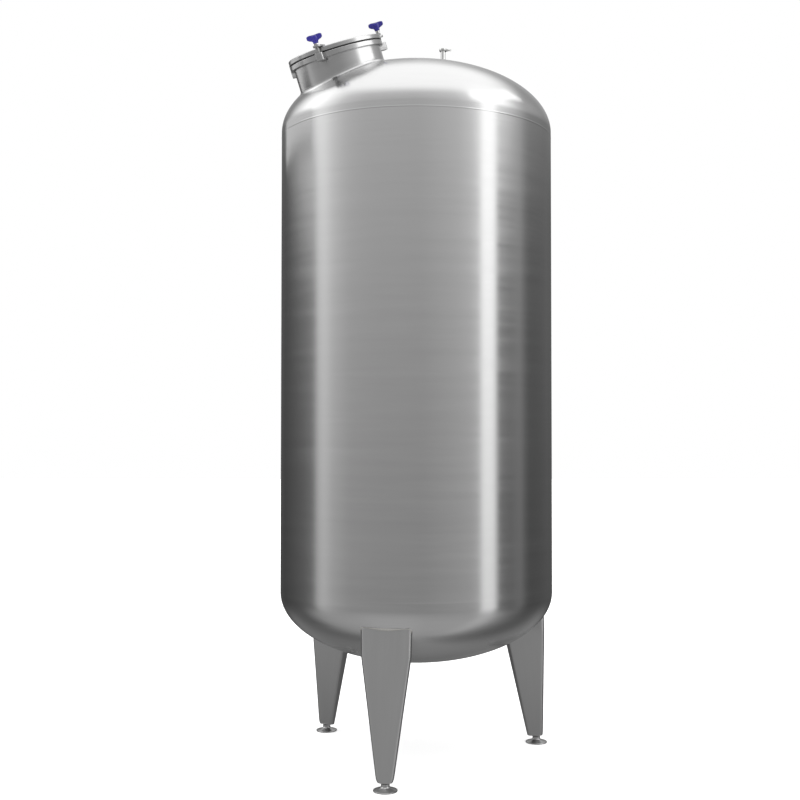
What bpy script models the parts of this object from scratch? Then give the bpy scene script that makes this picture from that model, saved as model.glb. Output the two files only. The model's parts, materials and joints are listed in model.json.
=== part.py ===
"""Vertical storage tank in brushed stainless steel, on three folded legs.

Units are metres, +Z is up, the floor is at z = 0 and the tank's axis is the Z axis.
Compass angles are measured from the front (-Y) towards the left (-X).
"""

import math

import bmesh
import bpy
from mathutils import Matrix, Vector

# Driving dimensions of the vessel
INNER_RADIUS = 0.600
WALL = 0.003
INNER_HEAD_DEPTH = 0.300
STRAIGHT_FLANGE = 0.025
BOTTOM_SEAM = 0.746
SHELL_HEIGHT = 1.985
SHELL_PLATES = 4
FIRST_SHELL_SEAM = math.radians(45)
GAP = 0.0003
ROUND_STEPS = 72
HEAD_RINGS = 10

# Manway: a round neck that leans outwards on the top head, with a hinged lid
MANWAY_COMPASS = math.radians(55)
MANWAY_REACH = 0.398
MANWAY_TILT = math.radians(20.5)
NECK_RADIUS = 0.1925
NECK_RIM_RADIUS = 0.2055
NECK_RIM_FOOT = 0.053
NECK_RIM_TOP = 0.073
LID_RADIUS = 0.206
LID_TOP = 0.097
LID_SKIRT_FOOT = 0.0785
LID_CROWN_RADIUS = 0.155
LID_CROWN_RISE = 0.012
GASKET_RADIUS = 0.2027
GASKET_WIDTH = 0.015
MANWAY_STEPS = 60

# Wing screws that hold the lid down, and the hinge opposite them
SCREW_ANGLES = (math.radians(38.5), math.radians(171))
HINGE_ANGLE = math.radians(288)
SCREW_REACH = 0.2265
SCREW_RADIUS = 0.006
SCREW_TIP = 0.062
EAR_LENGTH = 0.080
EAR_WIDTH = 0.034
EAR_THICKNESS = 0.008
LUG_REACH = 0.0385
LUG_FOOT = 0.041
LUG_HOLE_RADIUS = 0.009
LUG_BEVEL = 0.008
COLLAR_RADIUS = 0.011
COLLAR_HEIGHT = 0.004
KNOB_FEET = (0.113, 0.128)
KNOB_HEIGHT = 0.037
KNOB_SPAN = 0.066
KNOB_THICKNESS = 0.016
KNOB_HUB_RADII = (0.0115, 0.0145)
KNOB_TURNS = (math.radians(105), math.radians(-15))
WING_LOBE_RADIUS = 0.0115
WING_DIP = 0.0045
HINGE_REACH = 0.232
HINGE_HEIGHT = 0.0925
HINGE_WIDTH = 0.062
CHEEK_WIDTH = 0.009
CHEEK_HALF_DEPTH = 0.0115
HINGE_SHELF = 0.006
HINGE_SIDE_PLAY = 0.0015
PIN_RADIUS = 0.0055
PIN_STAND_OUT = 0.003
KNUCKLE_RADIUS = LID_TOP + GAP + EAR_THICKNESS - HINGE_HEIGHT

# Vent nozzle near the crown and outlet at the lowest point
VENT_COMPASS = math.radians(-80)
VENT_REACH = 0.122
VENT_TOP = 3.150
VENT_RADIUS = 0.0107
VENT_WALL = 0.002
VENT_STEPS = 24
VENT_LIP = 0.0022
VENT_SPLIT = -0.0083
CLAMP_RADIUS = 0.0168
CLAMP_LOW = -0.0145
CLAMP_HIGH = -0.0025
CLAMP_EAR_REACH = 0.024
CLAMP_EAR_WIDTH = 0.008
WING_NUT_THICKNESS = 0.004
OUTLET_RADIUS = 0.019
OUTLET_WALL = 0.0015
OUTLET_LENGTH = 0.0085
OUTLET_RIM_RADIUS = 0.02525
OUTLET_RIM_THICKNESS = 0.0028

# Legs: plate folded into a closed tapered section that narrows towards the tank's axis
LEG_COMPASSES = tuple(math.radians(angle) for angle in (12.3, 132.3, 252.3))
LEG_PLATE = 0.004
LEG_FOOT = 0.035
LEG_TOP = 0.700
LEG_FACE_TOP = 0.576
LEG_FACE_FOOT = 0.602
LEG_FACE_HEIGHT = 0.640
LEG_TAPER_TOP = 0.530
LEG_WIDTH_TOP = 0.230
LEG_WIDTH_FOOT = 0.091
LEG_DEPTH_FOOT = 0.0655
LEG_DEPTH_SLOPE = 0.191
LEG_BACK_FOOT = 0.0245
LEG_BACK_SLOPE = 0.050
LEG_BEND_RADIUS = 0.016
LEG_BACK_BEND_RADIUS = 0.012
LEG_FOOT_ROUNDING = 0.028
LEG_FOOT_DRAW = 0.4
BASE_PLATE_HEIGHT = 0.052
BASE_PLATE_THICKNESS = 0.008
FOOT_REACH = 0.5785
FOOT_RADIUS = 0.049
FOOT_HUB_RADIUS = 0.016
FOOT_HUB_TOP = 0.030
FOOT_EDGE = 0.004
FOOT_DISH = 0.013
STUD_RADIUS = 0.010
STUD_TOP = 0.085

OUTER_RADIUS = INNER_RADIUS + WALL
OUTER_HEAD_DEPTH = INNER_HEAD_DEPTH + WALL
TOP_SEAM = BOTTOM_SEAM + SHELL_HEIGHT
TOP_TANGENT = TOP_SEAM + STRAIGHT_FLANGE
BOTTOM_TANGENT = BOTTOM_SEAM - STRAIGHT_FLANGE
NECK_BORE = NECK_RADIUS - WALL
CUTTER_HEIGHT = 0.4
SLOT_MARGIN = 0.02


def clear_scene():
    for obj in list(bpy.data.objects):
        bpy.data.objects.remove(obj, do_unlink=True)


def material(name, color, metallic, roughness):
    made = bpy.data.materials.new(name)
    made.use_nodes = True
    shader = made.node_tree.nodes["Principled BSDF"]
    shader.inputs["Base Color"].default_value = (*color, 1.0)
    shader.inputs["Metallic"].default_value = metallic
    shader.inputs["Roughness"].default_value = roughness
    return made


def add_object(name, mesh, finish, parent=None, matrix=None):
    """Links a mesh as an object, placed by its matrix in its parent's frame."""
    obj = bpy.data.objects.new(name, mesh)
    bpy.context.scene.collection.objects.link(obj)
    obj.parent = parent
    if matrix is not None:
        obj.matrix_local = matrix
    if finish is not None:
        mesh.materials.append(finish)
    mesh.shade_smooth()
    mesh.set_sharp_from_angle(angle=math.radians(35))
    return obj


def add_empty(name, matrix, parent=None):
    empty = bpy.data.objects.new(name, None)
    bpy.context.scene.collection.objects.link(empty)
    empty.parent = parent
    empty.matrix_local = matrix
    return empty


def mesh_from(bm, name):
    bmesh.ops.remove_doubles(bm, verts=bm.verts, dist=1e-6)
    bmesh.ops.dissolve_degenerate(bm, edges=bm.edges, dist=1e-7)
    bmesh.ops.recalc_face_normals(bm, faces=bm.faces)
    mesh = bpy.data.meshes.new(name)
    bm.to_mesh(mesh)
    bm.free()
    return mesh


def turned_mesh(name, profile, steps=ROUND_STEPS, closed=True, sweep=math.tau, start=0.0):
    """A profile of (radius, height) points turned about Z; a part turn gets flat ends."""
    bm = bmesh.new()
    turn = Matrix.Rotation(start, 3, "Z")
    verts = [bm.verts.new(turn @ Vector((radius, 0, height))) for radius, height in profile]
    edges = [bm.edges.new(pair) for pair in zip(verts, verts[1:])]
    if closed:
        edges.append(bm.edges.new((verts[-1], verts[0])))
    full = abs(sweep - math.tau) < 1e-9
    if not full:
        bm.faces.new(verts)
    spun = bmesh.ops.spin(
        bm, geom=edges, cent=(0, 0, 0), axis=(0, 0, 1), angle=sweep, steps=steps, use_merge=full
    )
    if not full:
        bm.faces.new([item for item in spun["geom_last"] if isinstance(item, bmesh.types.BMVert)])
    return mesh_from(bm, name)


def prism_mesh(name, outline, low, high):
    """An outline of (x, y) points carried straight up from low to high."""
    bm = bmesh.new()
    face = bm.faces.new([bm.verts.new((x, y, low)) for x, y in outline])
    raised = bmesh.ops.extrude_face_region(bm, geom=[face])
    moved = [item for item in raised["geom"] if isinstance(item, bmesh.types.BMVert)]
    bmesh.ops.translate(bm, verts=moved, vec=(0, 0, high - low))
    return mesh_from(bm, name)


def arc(center, radius, start, end, steps):
    """Points on an arc, with its angles in degrees."""
    points = []
    for index in range(steps + 1):
        angle = math.radians(start + (end - start) * index / steps)
        points.append((center[0] + radius * math.cos(angle), center[1] + radius * math.sin(angle)))
    return points


def boolean(obj, cutter, operation="DIFFERENCE"):
    modifier = obj.modifiers.new(cutter.name, "BOOLEAN")
    modifier.operation = operation
    modifier.object = cutter
    modifier.solver = "EXACT"


def as_cutter(obj):
    obj.hide_render = True
    obj.display_type = "WIRE"
    return obj


def compass_point(compass, reach, height):
    return Vector((-math.sin(compass) * reach, -math.cos(compass) * reach, height))


def head_curve(growth, rings=HEAD_RINGS):
    """Quarter ellipse (radius, rise) from the tangent line to the crown, grown from the inner surface."""
    points = []
    for index in range(rings + 1):
        angle = math.radians(90 * index / rings)
        radius = (INNER_RADIUS + growth) * math.cos(angle)
        points.append((radius if index < rings else 0.0, (INNER_HEAD_DEPTH + growth) * math.sin(angle)))
    return points


def head_profile():
    """Section of a head over its seam at height 0: outer side up, inner side down."""
    outer = [(OUTER_RADIUS, GAP / 2)]
    outer += [(radius, STRAIGHT_FLANGE + rise) for radius, rise in head_curve(WALL)]
    inner = [(radius, STRAIGHT_FLANGE + rise) for radius, rise in reversed(head_curve(0.0))]
    inner += [(INNER_RADIUS, GAP / 2)]
    return outer, inner


def head_mesh(name):
    """A dished head with a pole on each side of its crown, joined at the rim."""
    outer, inner = head_profile()
    return turned_mesh(name, inner + outer, closed=False)


def head_solid(name, growth, tangent, side):
    """The head's whole volume and a stretch of shell, for cutting what is welded on it."""
    profile = [(0.0, -CUTTER_HEIGHT), (INNER_RADIUS + growth, -CUTTER_HEIGHT), *head_curve(growth)]
    flip = Matrix.Rotation(0 if side > 0 else math.pi, 4, "X")
    place = Matrix.Translation((0, 0, tangent)) @ flip
    return as_cutter(add_object(name, turned_mesh(name, profile, closed=False), None, None, place))


def cylinder_cutter(name, radius, low, high, parent=None, matrix=None, steps=MANWAY_STEPS):
    profile = [(0.0, low), (radius, low), (radius, high), (0.0, high)]
    mesh = turned_mesh(name, profile, steps=steps, closed=False)
    return as_cutter(add_object(name, mesh, None, parent, matrix))


def make_shell(steel):
    """The rolled plates, butted with a hairline at each upright seam."""
    sweep = math.tau / SHELL_PLATES
    trim = GAP / OUTER_RADIUS
    profile = [
        (INNER_RADIUS, BOTTOM_SEAM),
        (OUTER_RADIUS, BOTTOM_SEAM),
        (OUTER_RADIUS, TOP_SEAM),
        (INNER_RADIUS, TOP_SEAM),
    ]
    for index in range(SHELL_PLATES):
        name = f"shell_plate_{index + 1}"
        start = FIRST_SHELL_SEAM + index * sweep + trim / 2
        steps = ROUND_STEPS // SHELL_PLATES
        add_object(name, turned_mesh(name, profile, steps, True, sweep - trim, start), steel)


def make_heads(steel, manway, vent):
    upright = Matrix.Translation((0, 0, TOP_SEAM))
    top = add_object("top_head", head_mesh("top_head"), steel, None, upright)
    boolean(top, cylinder_cutter("manway_hole", NECK_BORE, -CUTTER_HEIGHT, CUTTER_HEIGHT, manway))
    vent_bore = VENT_RADIUS - VENT_WALL
    low, high = -CUTTER_HEIGHT, CUTTER_HEIGHT
    boolean(top, cylinder_cutter("vent_hole", vent_bore, low, high, vent, None, VENT_STEPS))
    flipped = Matrix.Translation((0, 0, BOTTOM_SEAM)) @ Matrix.Rotation(math.pi, 4, "X")
    bottom = add_object("bottom_head", head_mesh("bottom_head"), steel, None, flipped)
    outlet_bore = OUTLET_RADIUS - OUTLET_WALL
    boolean(bottom, cylinder_cutter("outlet_hole", outlet_bore, 0.0, BOTTOM_SEAM, None, None, 24))


def manway_matrix():
    """Frame of the manway: Z along its neck, X downhill, Y level, origin on the head."""
    share = MANWAY_REACH / OUTER_RADIUS
    height = TOP_TANGENT + OUTER_HEAD_DEPTH * math.sqrt(1 - share * share)
    outward = compass_point(MANWAY_COMPASS, 1.0, 0.0)
    level = Vector((math.cos(MANWAY_COMPASS), -math.sin(MANWAY_COMPASS), 0.0))
    up = Vector((0, 0, 1))
    square = math.sin(MANWAY_TILT) * outward + math.cos(MANWAY_TILT) * up
    downhill = math.cos(MANWAY_TILT) * outward - math.sin(MANWAY_TILT) * up
    turn = Matrix((downhill, level, square)).transposed().to_4x4()
    return Matrix.Translation(compass_point(MANWAY_COMPASS, MANWAY_REACH, height)) @ turn


def around(angle, reach=0.0, height=0.0):
    """A place on the manway: turned about its axis, then moved outwards and up."""
    return Matrix.Rotation(angle, 4, "Z") @ Matrix.Translation((reach, 0, height))


def make_neck(steel, manway, top_solid):
    tube = [
        (NECK_BORE, -0.2),
        (NECK_RADIUS, -0.2),
        (NECK_RADIUS, NECK_RIM_FOOT - GAP),
        (NECK_BORE, NECK_RIM_FOOT - GAP),
    ]
    neck = add_object("manway_neck", turned_mesh("manway_neck", tube, MANWAY_STEPS), steel, manway)
    boolean(neck, top_solid)
    rim = [
        (NECK_BORE, NECK_RIM_FOOT),
        (NECK_RIM_RADIUS, NECK_RIM_FOOT),
        (NECK_RIM_RADIUS, NECK_RIM_TOP),
        (NECK_BORE, NECK_RIM_TOP),
    ]
    add_object("manway_rim", turned_mesh("manway_rim", rim, MANWAY_STEPS), steel, manway)


def crown_curve(rings=3):
    """The lid's shallow crown: (radius, rise) on a parabola."""
    points = []
    for index in range(rings + 1):
        share = index / rings
        points.append((LID_CROWN_RADIUS * share, LID_CROWN_RISE * (1 - share * share)))
    return points


def make_lid(steel, rubber, hinge, unturn):
    """The pressed lid with its turned-down skirt, and the gasket held inside the skirt."""
    crown = [(radius, LID_TOP + rise) for radius, rise in crown_curve()]
    corner = arc((LID_RADIUS - 0.004, LID_TOP - 0.004), 0.004, 90, 0, 3)
    skirt = [(LID_RADIUS, LID_SKIRT_FOOT), (LID_RADIUS - WALL, LID_SKIRT_FOOT)]
    underside = [(LID_RADIUS - WALL, LID_TOP - WALL)]
    underside += [(radius, LID_TOP + rise - WALL) for radius, rise in reversed(crown_curve())]
    mesh = turned_mesh("manway_lid", crown + corner + skirt + underside, MANWAY_STEPS, False)
    add_object("manway_lid", mesh, steel, hinge, unturn)
    inner = GASKET_RADIUS - GASKET_WIDTH
    ring = [
        (inner, NECK_RIM_TOP + GAP),
        (GASKET_RADIUS, NECK_RIM_TOP + GAP),
        (GASKET_RADIUS, LID_TOP - WALL - GAP),
        (inner, LID_TOP - WALL - GAP),
    ]
    mesh = turned_mesh("manway_gasket", ring, MANWAY_STEPS)
    add_object("manway_gasket", mesh, rubber, hinge, unturn)


def ear_outline():
    """A flat bar with a round outer end, centred on its screw hole."""
    half = EAR_WIDTH / 2
    return [(half - EAR_LENGTH, -half), *arc((0, 0), half, -90, 90, 10), (half - EAR_LENGTH, half)]


def make_ears(steel, hinge, unturn):
    for index, angle in enumerate(SCREW_ANGLES):
        name = f"lid_ear_{index + 1}"
        low = LID_TOP + GAP
        place = unturn @ around(angle, SCREW_REACH)
        mesh = prism_mesh(name, ear_outline(), low, low + EAR_THICKNESS)
        ear = add_object(name, mesh, steel, hinge, place)
        hole = cylinder_cutter(f"{name}_hole", SCREW_RADIUS + GAP, 0.05, 0.15, hinge, place, 20)
        boolean(ear, hole)


def make_lugs(steel, manway):
    """Blocks on the neck's rim that take the screws' tips."""
    inner = NECK_RIM_RADIUS + GAP - SCREW_REACH
    outer = inner + LUG_REACH
    half = EAR_WIDTH / 2
    outline = [
        (inner, -half),
        (outer - LUG_BEVEL, -half),
        (outer, LUG_BEVEL - half),
        (outer, half - LUG_BEVEL),
        (outer - LUG_BEVEL, half),
        (inner, half),
    ]
    for index, angle in enumerate(SCREW_ANGLES):
        name = f"neck_lug_{index + 1}"
        place = around(angle, SCREW_REACH)
        mesh = prism_mesh(name, outline, LUG_FOOT, NECK_RIM_TOP)
        lug = add_object(name, mesh, steel, manway, place)
        boolean(lug, cylinder_cutter(f"{name}_hole", LUG_HOLE_RADIUS, 0.0, 0.2, manway, place, 24))


def screw_profile(knob_foot):
    """Shank from its rounded tip to the knob, with the collar that bears on the ear."""
    collar = LID_TOP + EAR_THICKNESS + 2 * GAP
    top = knob_foot - GAP
    return [
        (0.0, SCREW_TIP),
        (SCREW_RADIUS - 0.002, SCREW_TIP),
        (SCREW_RADIUS, SCREW_TIP + 0.002),
        (SCREW_RADIUS, collar),
        (COLLAR_RADIUS, collar),
        (COLLAR_RADIUS, collar + COLLAR_HEIGHT),
        (SCREW_RADIUS + 0.001, collar + COLLAR_HEIGHT + 0.002),
        (SCREW_RADIUS + 0.001, top),
        (0.0, top),
    ]


def wing_outline():
    """Front view of the two wings: round lobes joined over the hub, with a dip between them."""
    lobe_center = (KNOB_SPAN / 2 - WING_LOBE_RADIUS, KNOB_HEIGHT - WING_LOBE_RADIUS)
    right = arc(lobe_center, WING_LOBE_RADIUS, -60, 110, 8)
    left = [(-x, y) for x, y in reversed(right)]
    root = KNOB_HUB_RADII[0]
    root_height = KNOB_HEIGHT / 6
    return [(root, root_height), *right, (0.0, KNOB_HEIGHT - WING_DIP), *left, (-root, root_height)]


def make_screws(steel, plastic, hinge, unturn):
    for index, angle in enumerate(SCREW_ANGLES):
        axis = add_empty(f"screw_axis_{index + 1}", unturn @ around(angle, SCREW_REACH), hinge)
        name = f"wing_screw_{index + 1}"
        add_object(name, turned_mesh(name, screw_profile(KNOB_FEET[index]), 20, False), steel, axis)
        name = f"wing_knob_{index + 1}"
        foot, top = KNOB_HUB_RADII
        hub = [(0.0, 0.0), (foot, 0.0), (top, KNOB_HEIGHT * 0.8), (0.0, KNOB_HEIGHT * 0.9)]
        raised = Matrix.Translation((0, 0, KNOB_FEET[index])) @ Matrix.Rotation(KNOB_TURNS[index], 4, "Z")
        knob = add_object(name, turned_mesh(name, hub, 24, False), plastic, axis, raised)
        mesh = prism_mesh(f"{name}_wings", wing_outline(), -KNOB_THICKNESS / 2, KNOB_THICKNESS / 2)
        upright = raised @ Matrix.Rotation(math.pi / 2, 4, "X")
        wings = as_cutter(add_object(f"{name}_wings", mesh, None, axis, upright))
        boolean(knob, wings, "UNION")


def make_hinge(steel, manway, hinge):
    """Bracket with two cheeks on the neck's rim, strap with a knuckle on the lid, and the pin."""
    half = HINGE_WIDTH / 2
    base_top = NECK_RIM_FOOT + HINGE_SHELF
    cheek_top = HINGE_HEIGHT + CHEEK_HALF_DEPTH
    inner = NECK_RIM_RADIUS + GAP
    outer = HINGE_REACH + CHEEK_HALF_DEPTH
    across = Matrix.Rotation(math.pi / 2, 4, "X")
    side_view = [
        (inner, LUG_FOOT),
        (outer, LUG_FOOT),
        *arc((HINGE_REACH, HINGE_HEIGHT), CHEEK_HALF_DEPTH, 0, 180, 8),
        (HINGE_REACH - CHEEK_HALF_DEPTH, base_top),
        (inner, base_top),
    ]
    place = around(HINGE_ANGLE) @ across
    mesh = prism_mesh("hinge_bracket", side_view, -half, half)
    bracket = add_object("hinge_bracket", mesh, steel, manway, place)
    slot_half = half - CHEEK_WIDTH
    near, far = inner - SLOT_MARGIN, outer + SLOT_MARGIN
    slot_top = cheek_top + SLOT_MARGIN
    slot_view = [(near, base_top), (far, base_top), (far, slot_top), (near, slot_top)]
    slot_mesh = prism_mesh("hinge_slot", slot_view, -slot_half, slot_half)
    boolean(bracket, as_cutter(add_object("hinge_slot", slot_mesh, None, manway, place)))
    pin_line = place @ Matrix.Translation((HINGE_REACH, HINGE_HEIGHT, 0))
    pin_hole = cylinder_cutter("hinge_pin_hole", PIN_RADIUS + GAP, -0.1, 0.1, manway, pin_line, 20)
    boolean(bracket, pin_hole)

    pin_half = half + PIN_STAND_OUT
    pin_profile = [(0.0, -pin_half), (PIN_RADIUS, -pin_half), (PIN_RADIUS, pin_half), (0.0, pin_half)]
    add_object("hinge_pin", turned_mesh("hinge_pin", pin_profile, 20, False), steel, manway, pin_line)

    low = LID_TOP + GAP - HINGE_HEIGHT
    high = low + EAR_THICKNESS
    reach = EAR_LENGTH - EAR_WIDTH / 2
    start = math.degrees(math.acos(low / KNUCKLE_RADIUS))
    strap_view = [(-reach, high), (-reach, low)]
    strap_view += arc((0, 0), KNUCKLE_RADIUS, 90 + start, 450, 18)
    strap_half = slot_half - HINGE_SIDE_PLAY
    mesh = prism_mesh("hinge_strap", strap_view, -strap_half, strap_half)
    strap = add_object("hinge_strap", mesh, steel, hinge, across)
    strap_hole = cylinder_cutter("hinge_strap_hole", PIN_RADIUS + GAP, -0.1, 0.1, hinge, across, 20)
    boolean(strap, strap_hole)


def wing_nut_outline():
    """Side view of a wing nut: a small hub with two wings that lean outwards."""
    right = [(0.003, 0.0), (0.0095, 0.010), (0.007, 0.013)]
    left = [(-x, y) for x, y in reversed(right)]
    return [*right, (0.0, 0.006), *left]


def make_vent(steel, vent, top_solid):
    """Small nozzle with a clamped cap and a wing nut; its frame's origin is at the cap's top."""
    bore = VENT_RADIUS - VENT_WALL
    lip = VENT_RADIUS + VENT_LIP
    face = VENT_SPLIT - GAP / 2
    pipe = [
        (bore, -NECK_RADIUS),
        (VENT_RADIUS, -NECK_RADIUS),
        (VENT_RADIUS, face - 2 * VENT_LIP),
        (lip, face - VENT_LIP),
        (lip, face),
        (bore, face),
    ]
    tube = add_object("vent_pipe", turned_mesh("vent_pipe", pipe, VENT_STEPS), steel, vent)
    boolean(tube, top_solid)
    under = VENT_SPLIT + GAP / 2
    cap = [(0.0, under), (lip, under), (lip, under + VENT_LIP), (bore, CLAMP_HIGH / 2), (0.0, 0.0)]
    add_object("vent_cap", turned_mesh("vent_cap", cap, VENT_STEPS, False), steel, vent)
    clamp = [
        (lip + GAP, CLAMP_LOW),
        (CLAMP_RADIUS, CLAMP_LOW),
        (CLAMP_RADIUS, CLAMP_HIGH),
        (lip + GAP, CLAMP_HIGH),
    ]
    ring = add_object("vent_clamp", turned_mesh("vent_clamp", clamp, VENT_STEPS), steel, vent)
    root = (lip + GAP + CLAMP_RADIUS) / 2
    half = CLAMP_EAR_WIDTH / 2
    outline = [(root, -half), (CLAMP_EAR_REACH, -half), (CLAMP_EAR_REACH, half), (root, half)]
    middle = (CLAMP_LOW + CLAMP_HIGH) / 2
    ear = prism_mesh("vent_clamp_ear", outline, middle - half, middle + half)
    boolean(ring, as_cutter(add_object("vent_clamp_ear", ear, None, vent)), "UNION")
    nut = prism_mesh("vent_wing_nut", wing_nut_outline(), -WING_NUT_THICKNESS / 2, WING_NUT_THICKNESS / 2)
    outwards = Matrix.Rotation(-math.pi / 2, 4, "Z")
    nut_place = Matrix.Translation((CLAMP_EAR_REACH + GAP, 0, middle)) @ outwards
    add_object("vent_wing_nut", nut, steel, vent, nut_place)


def make_outlet(steel):
    crown = BOTTOM_TANGENT - OUTER_HEAD_DEPTH
    foot = crown - OUTLET_LENGTH
    bore = OUTLET_RADIUS - OUTLET_WALL
    profile = [
        (bore, foot),
        (OUTLET_RIM_RADIUS, foot),
        (OUTLET_RIM_RADIUS, foot + OUTLET_RIM_THICKNESS),
        (OUTLET_RADIUS, foot + 2 * OUTLET_RIM_THICKNESS),
        (OUTLET_RADIUS, crown - GAP),
        (bore, crown - GAP),
    ]
    add_object("outlet_ferrule", turned_mesh("outlet_ferrule", profile, 36), steel)


def leg_size(height):
    """Reach of the outer face, its half width, the depth and the back's half width at a height."""
    above = height - LEG_FOOT
    lean = (LEG_FACE_HEIGHT - height) / (LEG_FACE_HEIGHT - LEG_FOOT)
    face = LEG_FACE_TOP + (LEG_FACE_FOOT - LEG_FACE_TOP) * lean
    share = min(1.0, above / (LEG_TAPER_TOP - LEG_FOOT))
    half = (LEG_WIDTH_FOOT + (LEG_WIDTH_TOP - LEG_WIDTH_FOOT) * share) / 2
    depth = LEG_DEPTH_FOOT + LEG_DEPTH_SLOPE * above
    back_half = (LEG_BACK_FOOT + LEG_BACK_SLOPE * above) / 2
    return face, half - leg_rounding(height), depth, back_half


def leg_rounding(height):
    """How far each side draws in near the foot, on a flattened quarter circle."""
    above = height - LEG_FOOT
    if above >= LEG_FOOT_ROUNDING:
        return 0.0
    below = LEG_FOOT_ROUNDING - above
    return LEG_FOOT_DRAW * (LEG_FOOT_ROUNDING - math.sqrt(LEG_FOOT_ROUNDING**2 - below**2))


def leg_outline(height, inset=0.0):
    """Section of the leg at a height, as (outward, sideways) points: four bends of the folded plate."""
    face, half, depth, back_half = leg_size(height)
    slant = math.atan((half - back_half) / depth)
    lean = 90 + math.degrees(slant)
    bend, back_bend = LEG_BEND_RADIUS, LEG_BACK_BEND_RADIUS
    front = (face - bend, half - bend * (1 + math.sin(slant)) / math.cos(slant))
    back = (face - depth + back_bend, back_half - back_bend * (1 - math.sin(slant)) / math.cos(slant))
    side = arc(front, bend - inset, 0, lean, 5) + arc(back, back_bend - inset, lean, 180, 3)
    return side + [(x, -y) for x, y in reversed(side)]


def lofted_mesh(name, sections):
    """Closed outlines at several heights, skinned in order and capped."""
    bm = bmesh.new()
    loops = [[bm.verts.new((x, y, height)) for x, y in outline] for height, outline in sections]
    for below, above in zip(loops, loops[1:]):
        for index in range(len(below)):
            after = (index + 1) % len(below)
            bm.faces.new((below[index], below[after], above[after], above[index]))
    bm.faces.new(loops[0])
    bm.faces.new(loops[-1])
    return mesh_from(bm, name)


def make_leg(number, steel, bottom_solid, turn):
    """The folded tube, cut along the bottom head, and the plate that closes its foot."""
    rounded = [LEG_FOOT + LEG_FOOT_ROUNDING * share for share in (0.0, 0.25, 0.54, 1.0)]
    levels = (*rounded, LEG_TAPER_TOP, LEG_TOP)
    name = f"leg_{number}"
    sections = [(level, leg_outline(level)) for level in levels]
    leg = add_object(name, lofted_mesh(name, sections), steel, None, turn)
    inner = [(level, leg_outline(level, LEG_PLATE)) for level in levels]
    inner = [(LEG_FOOT - SLOT_MARGIN, inner[0][1]), *inner, (LEG_TOP + SLOT_MARGIN, inner[-1][1])]
    name = f"leg_hollow_{number}"
    boolean(leg, as_cutter(add_object(name, lofted_mesh(name, inner), None, None, turn)))
    boolean(leg, bottom_solid)
    name = f"leg_base_plate_{number}"
    top = BASE_PLATE_HEIGHT + BASE_PLATE_THICKNESS
    outline = leg_outline(BASE_PLATE_HEIGHT, LEG_PLATE + 3 * GAP)
    mesh = prism_mesh(name, outline, BASE_PLATE_HEIGHT, top)
    plate = add_object(name, mesh, steel, None, turn)
    stud_line = turn @ Matrix.Translation((FOOT_REACH, 0, 0))
    boolean(plate, cylinder_cutter(f"{name}_hole", STUD_RADIUS + GAP, 0.0, 0.2, None, stud_line, 20))


def make_foot(number, steel, turn):
    """The levelling stud and the round foot plate with its hub."""
    stud_line = turn @ Matrix.Translation((FOOT_REACH, 0, 0))
    low = FOOT_HUB_TOP + GAP
    stud = [(0.0, low), (STUD_RADIUS, low), (STUD_RADIUS, STUD_TOP), (0.0, STUD_TOP)]
    name = f"foot_stud_{number}"
    add_object(name, turned_mesh(name, stud, 20, False), steel, None, stud_line)
    foot = [
        (0.0, 0.0),
        (FOOT_RADIUS, 0.0),
        (FOOT_RADIUS, FOOT_EDGE),
        (FOOT_HUB_RADIUS * 1.4, FOOT_DISH),
        (FOOT_HUB_RADIUS, FOOT_DISH * 1.4),
        (FOOT_HUB_RADIUS, FOOT_HUB_TOP),
        (0.0, FOOT_HUB_TOP),
    ]
    name = f"foot_{number}"
    add_object(name, turned_mesh(name, foot, 32, False), steel, None, stud_line)


def make_legs(steel, bottom_solid):
    for index, compass in enumerate(LEG_COMPASSES):
        turn = Matrix.Rotation(-math.pi / 2 - compass, 4, "Z")
        make_leg(index + 1, steel, bottom_solid, turn)
        make_foot(index + 1, steel, turn)


def main():
    clear_scene()
    steel = material("brushed_stainless", (0.55, 0.55, 0.56), 1.0, 0.32)
    rubber = material("black_rubber", (0.03, 0.03, 0.03), 0.0, 0.6)
    plastic = material("blue_plastic", (0.06, 0.05, 0.25), 0.0, 0.3)

    manway = add_empty("manway", manway_matrix())
    vent = add_empty("vent", Matrix.Translation(compass_point(VENT_COMPASS, VENT_REACH, VENT_TOP)))
    top_solid = head_solid("top_head_solid", WALL + GAP, TOP_TANGENT, 1)
    bottom_solid = head_solid("bottom_head_solid", WALL + GAP, BOTTOM_TANGENT, -1)

    hinge_line = around(HINGE_ANGLE, HINGE_REACH, HINGE_HEIGHT)
    hinge = add_empty("lid_hinge_axis", hinge_line, manway)
    unturn = hinge_line.inverted()

    make_shell(steel)
    make_heads(steel, manway, vent)
    make_neck(steel, manway, top_solid)
    make_lid(steel, rubber, hinge, unturn)
    make_ears(steel, hinge, unturn)
    make_lugs(steel, manway)
    make_screws(steel, plastic, hinge, unturn)
    make_hinge(steel, manway, hinge)
    make_vent(steel, vent, top_solid)
    make_outlet(steel)
    make_legs(steel, bottom_solid)


main()
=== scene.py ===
"""Looks of an upright stainless storage tank, built round its packed frame.

Each surface is worked out with numpy as a grid of points: a profile turned about an axis, an outline carried
upwards, or a bent plate between two skins. Lengths are metres, +Z is up and the feet stand on z = 0.
"""

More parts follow.
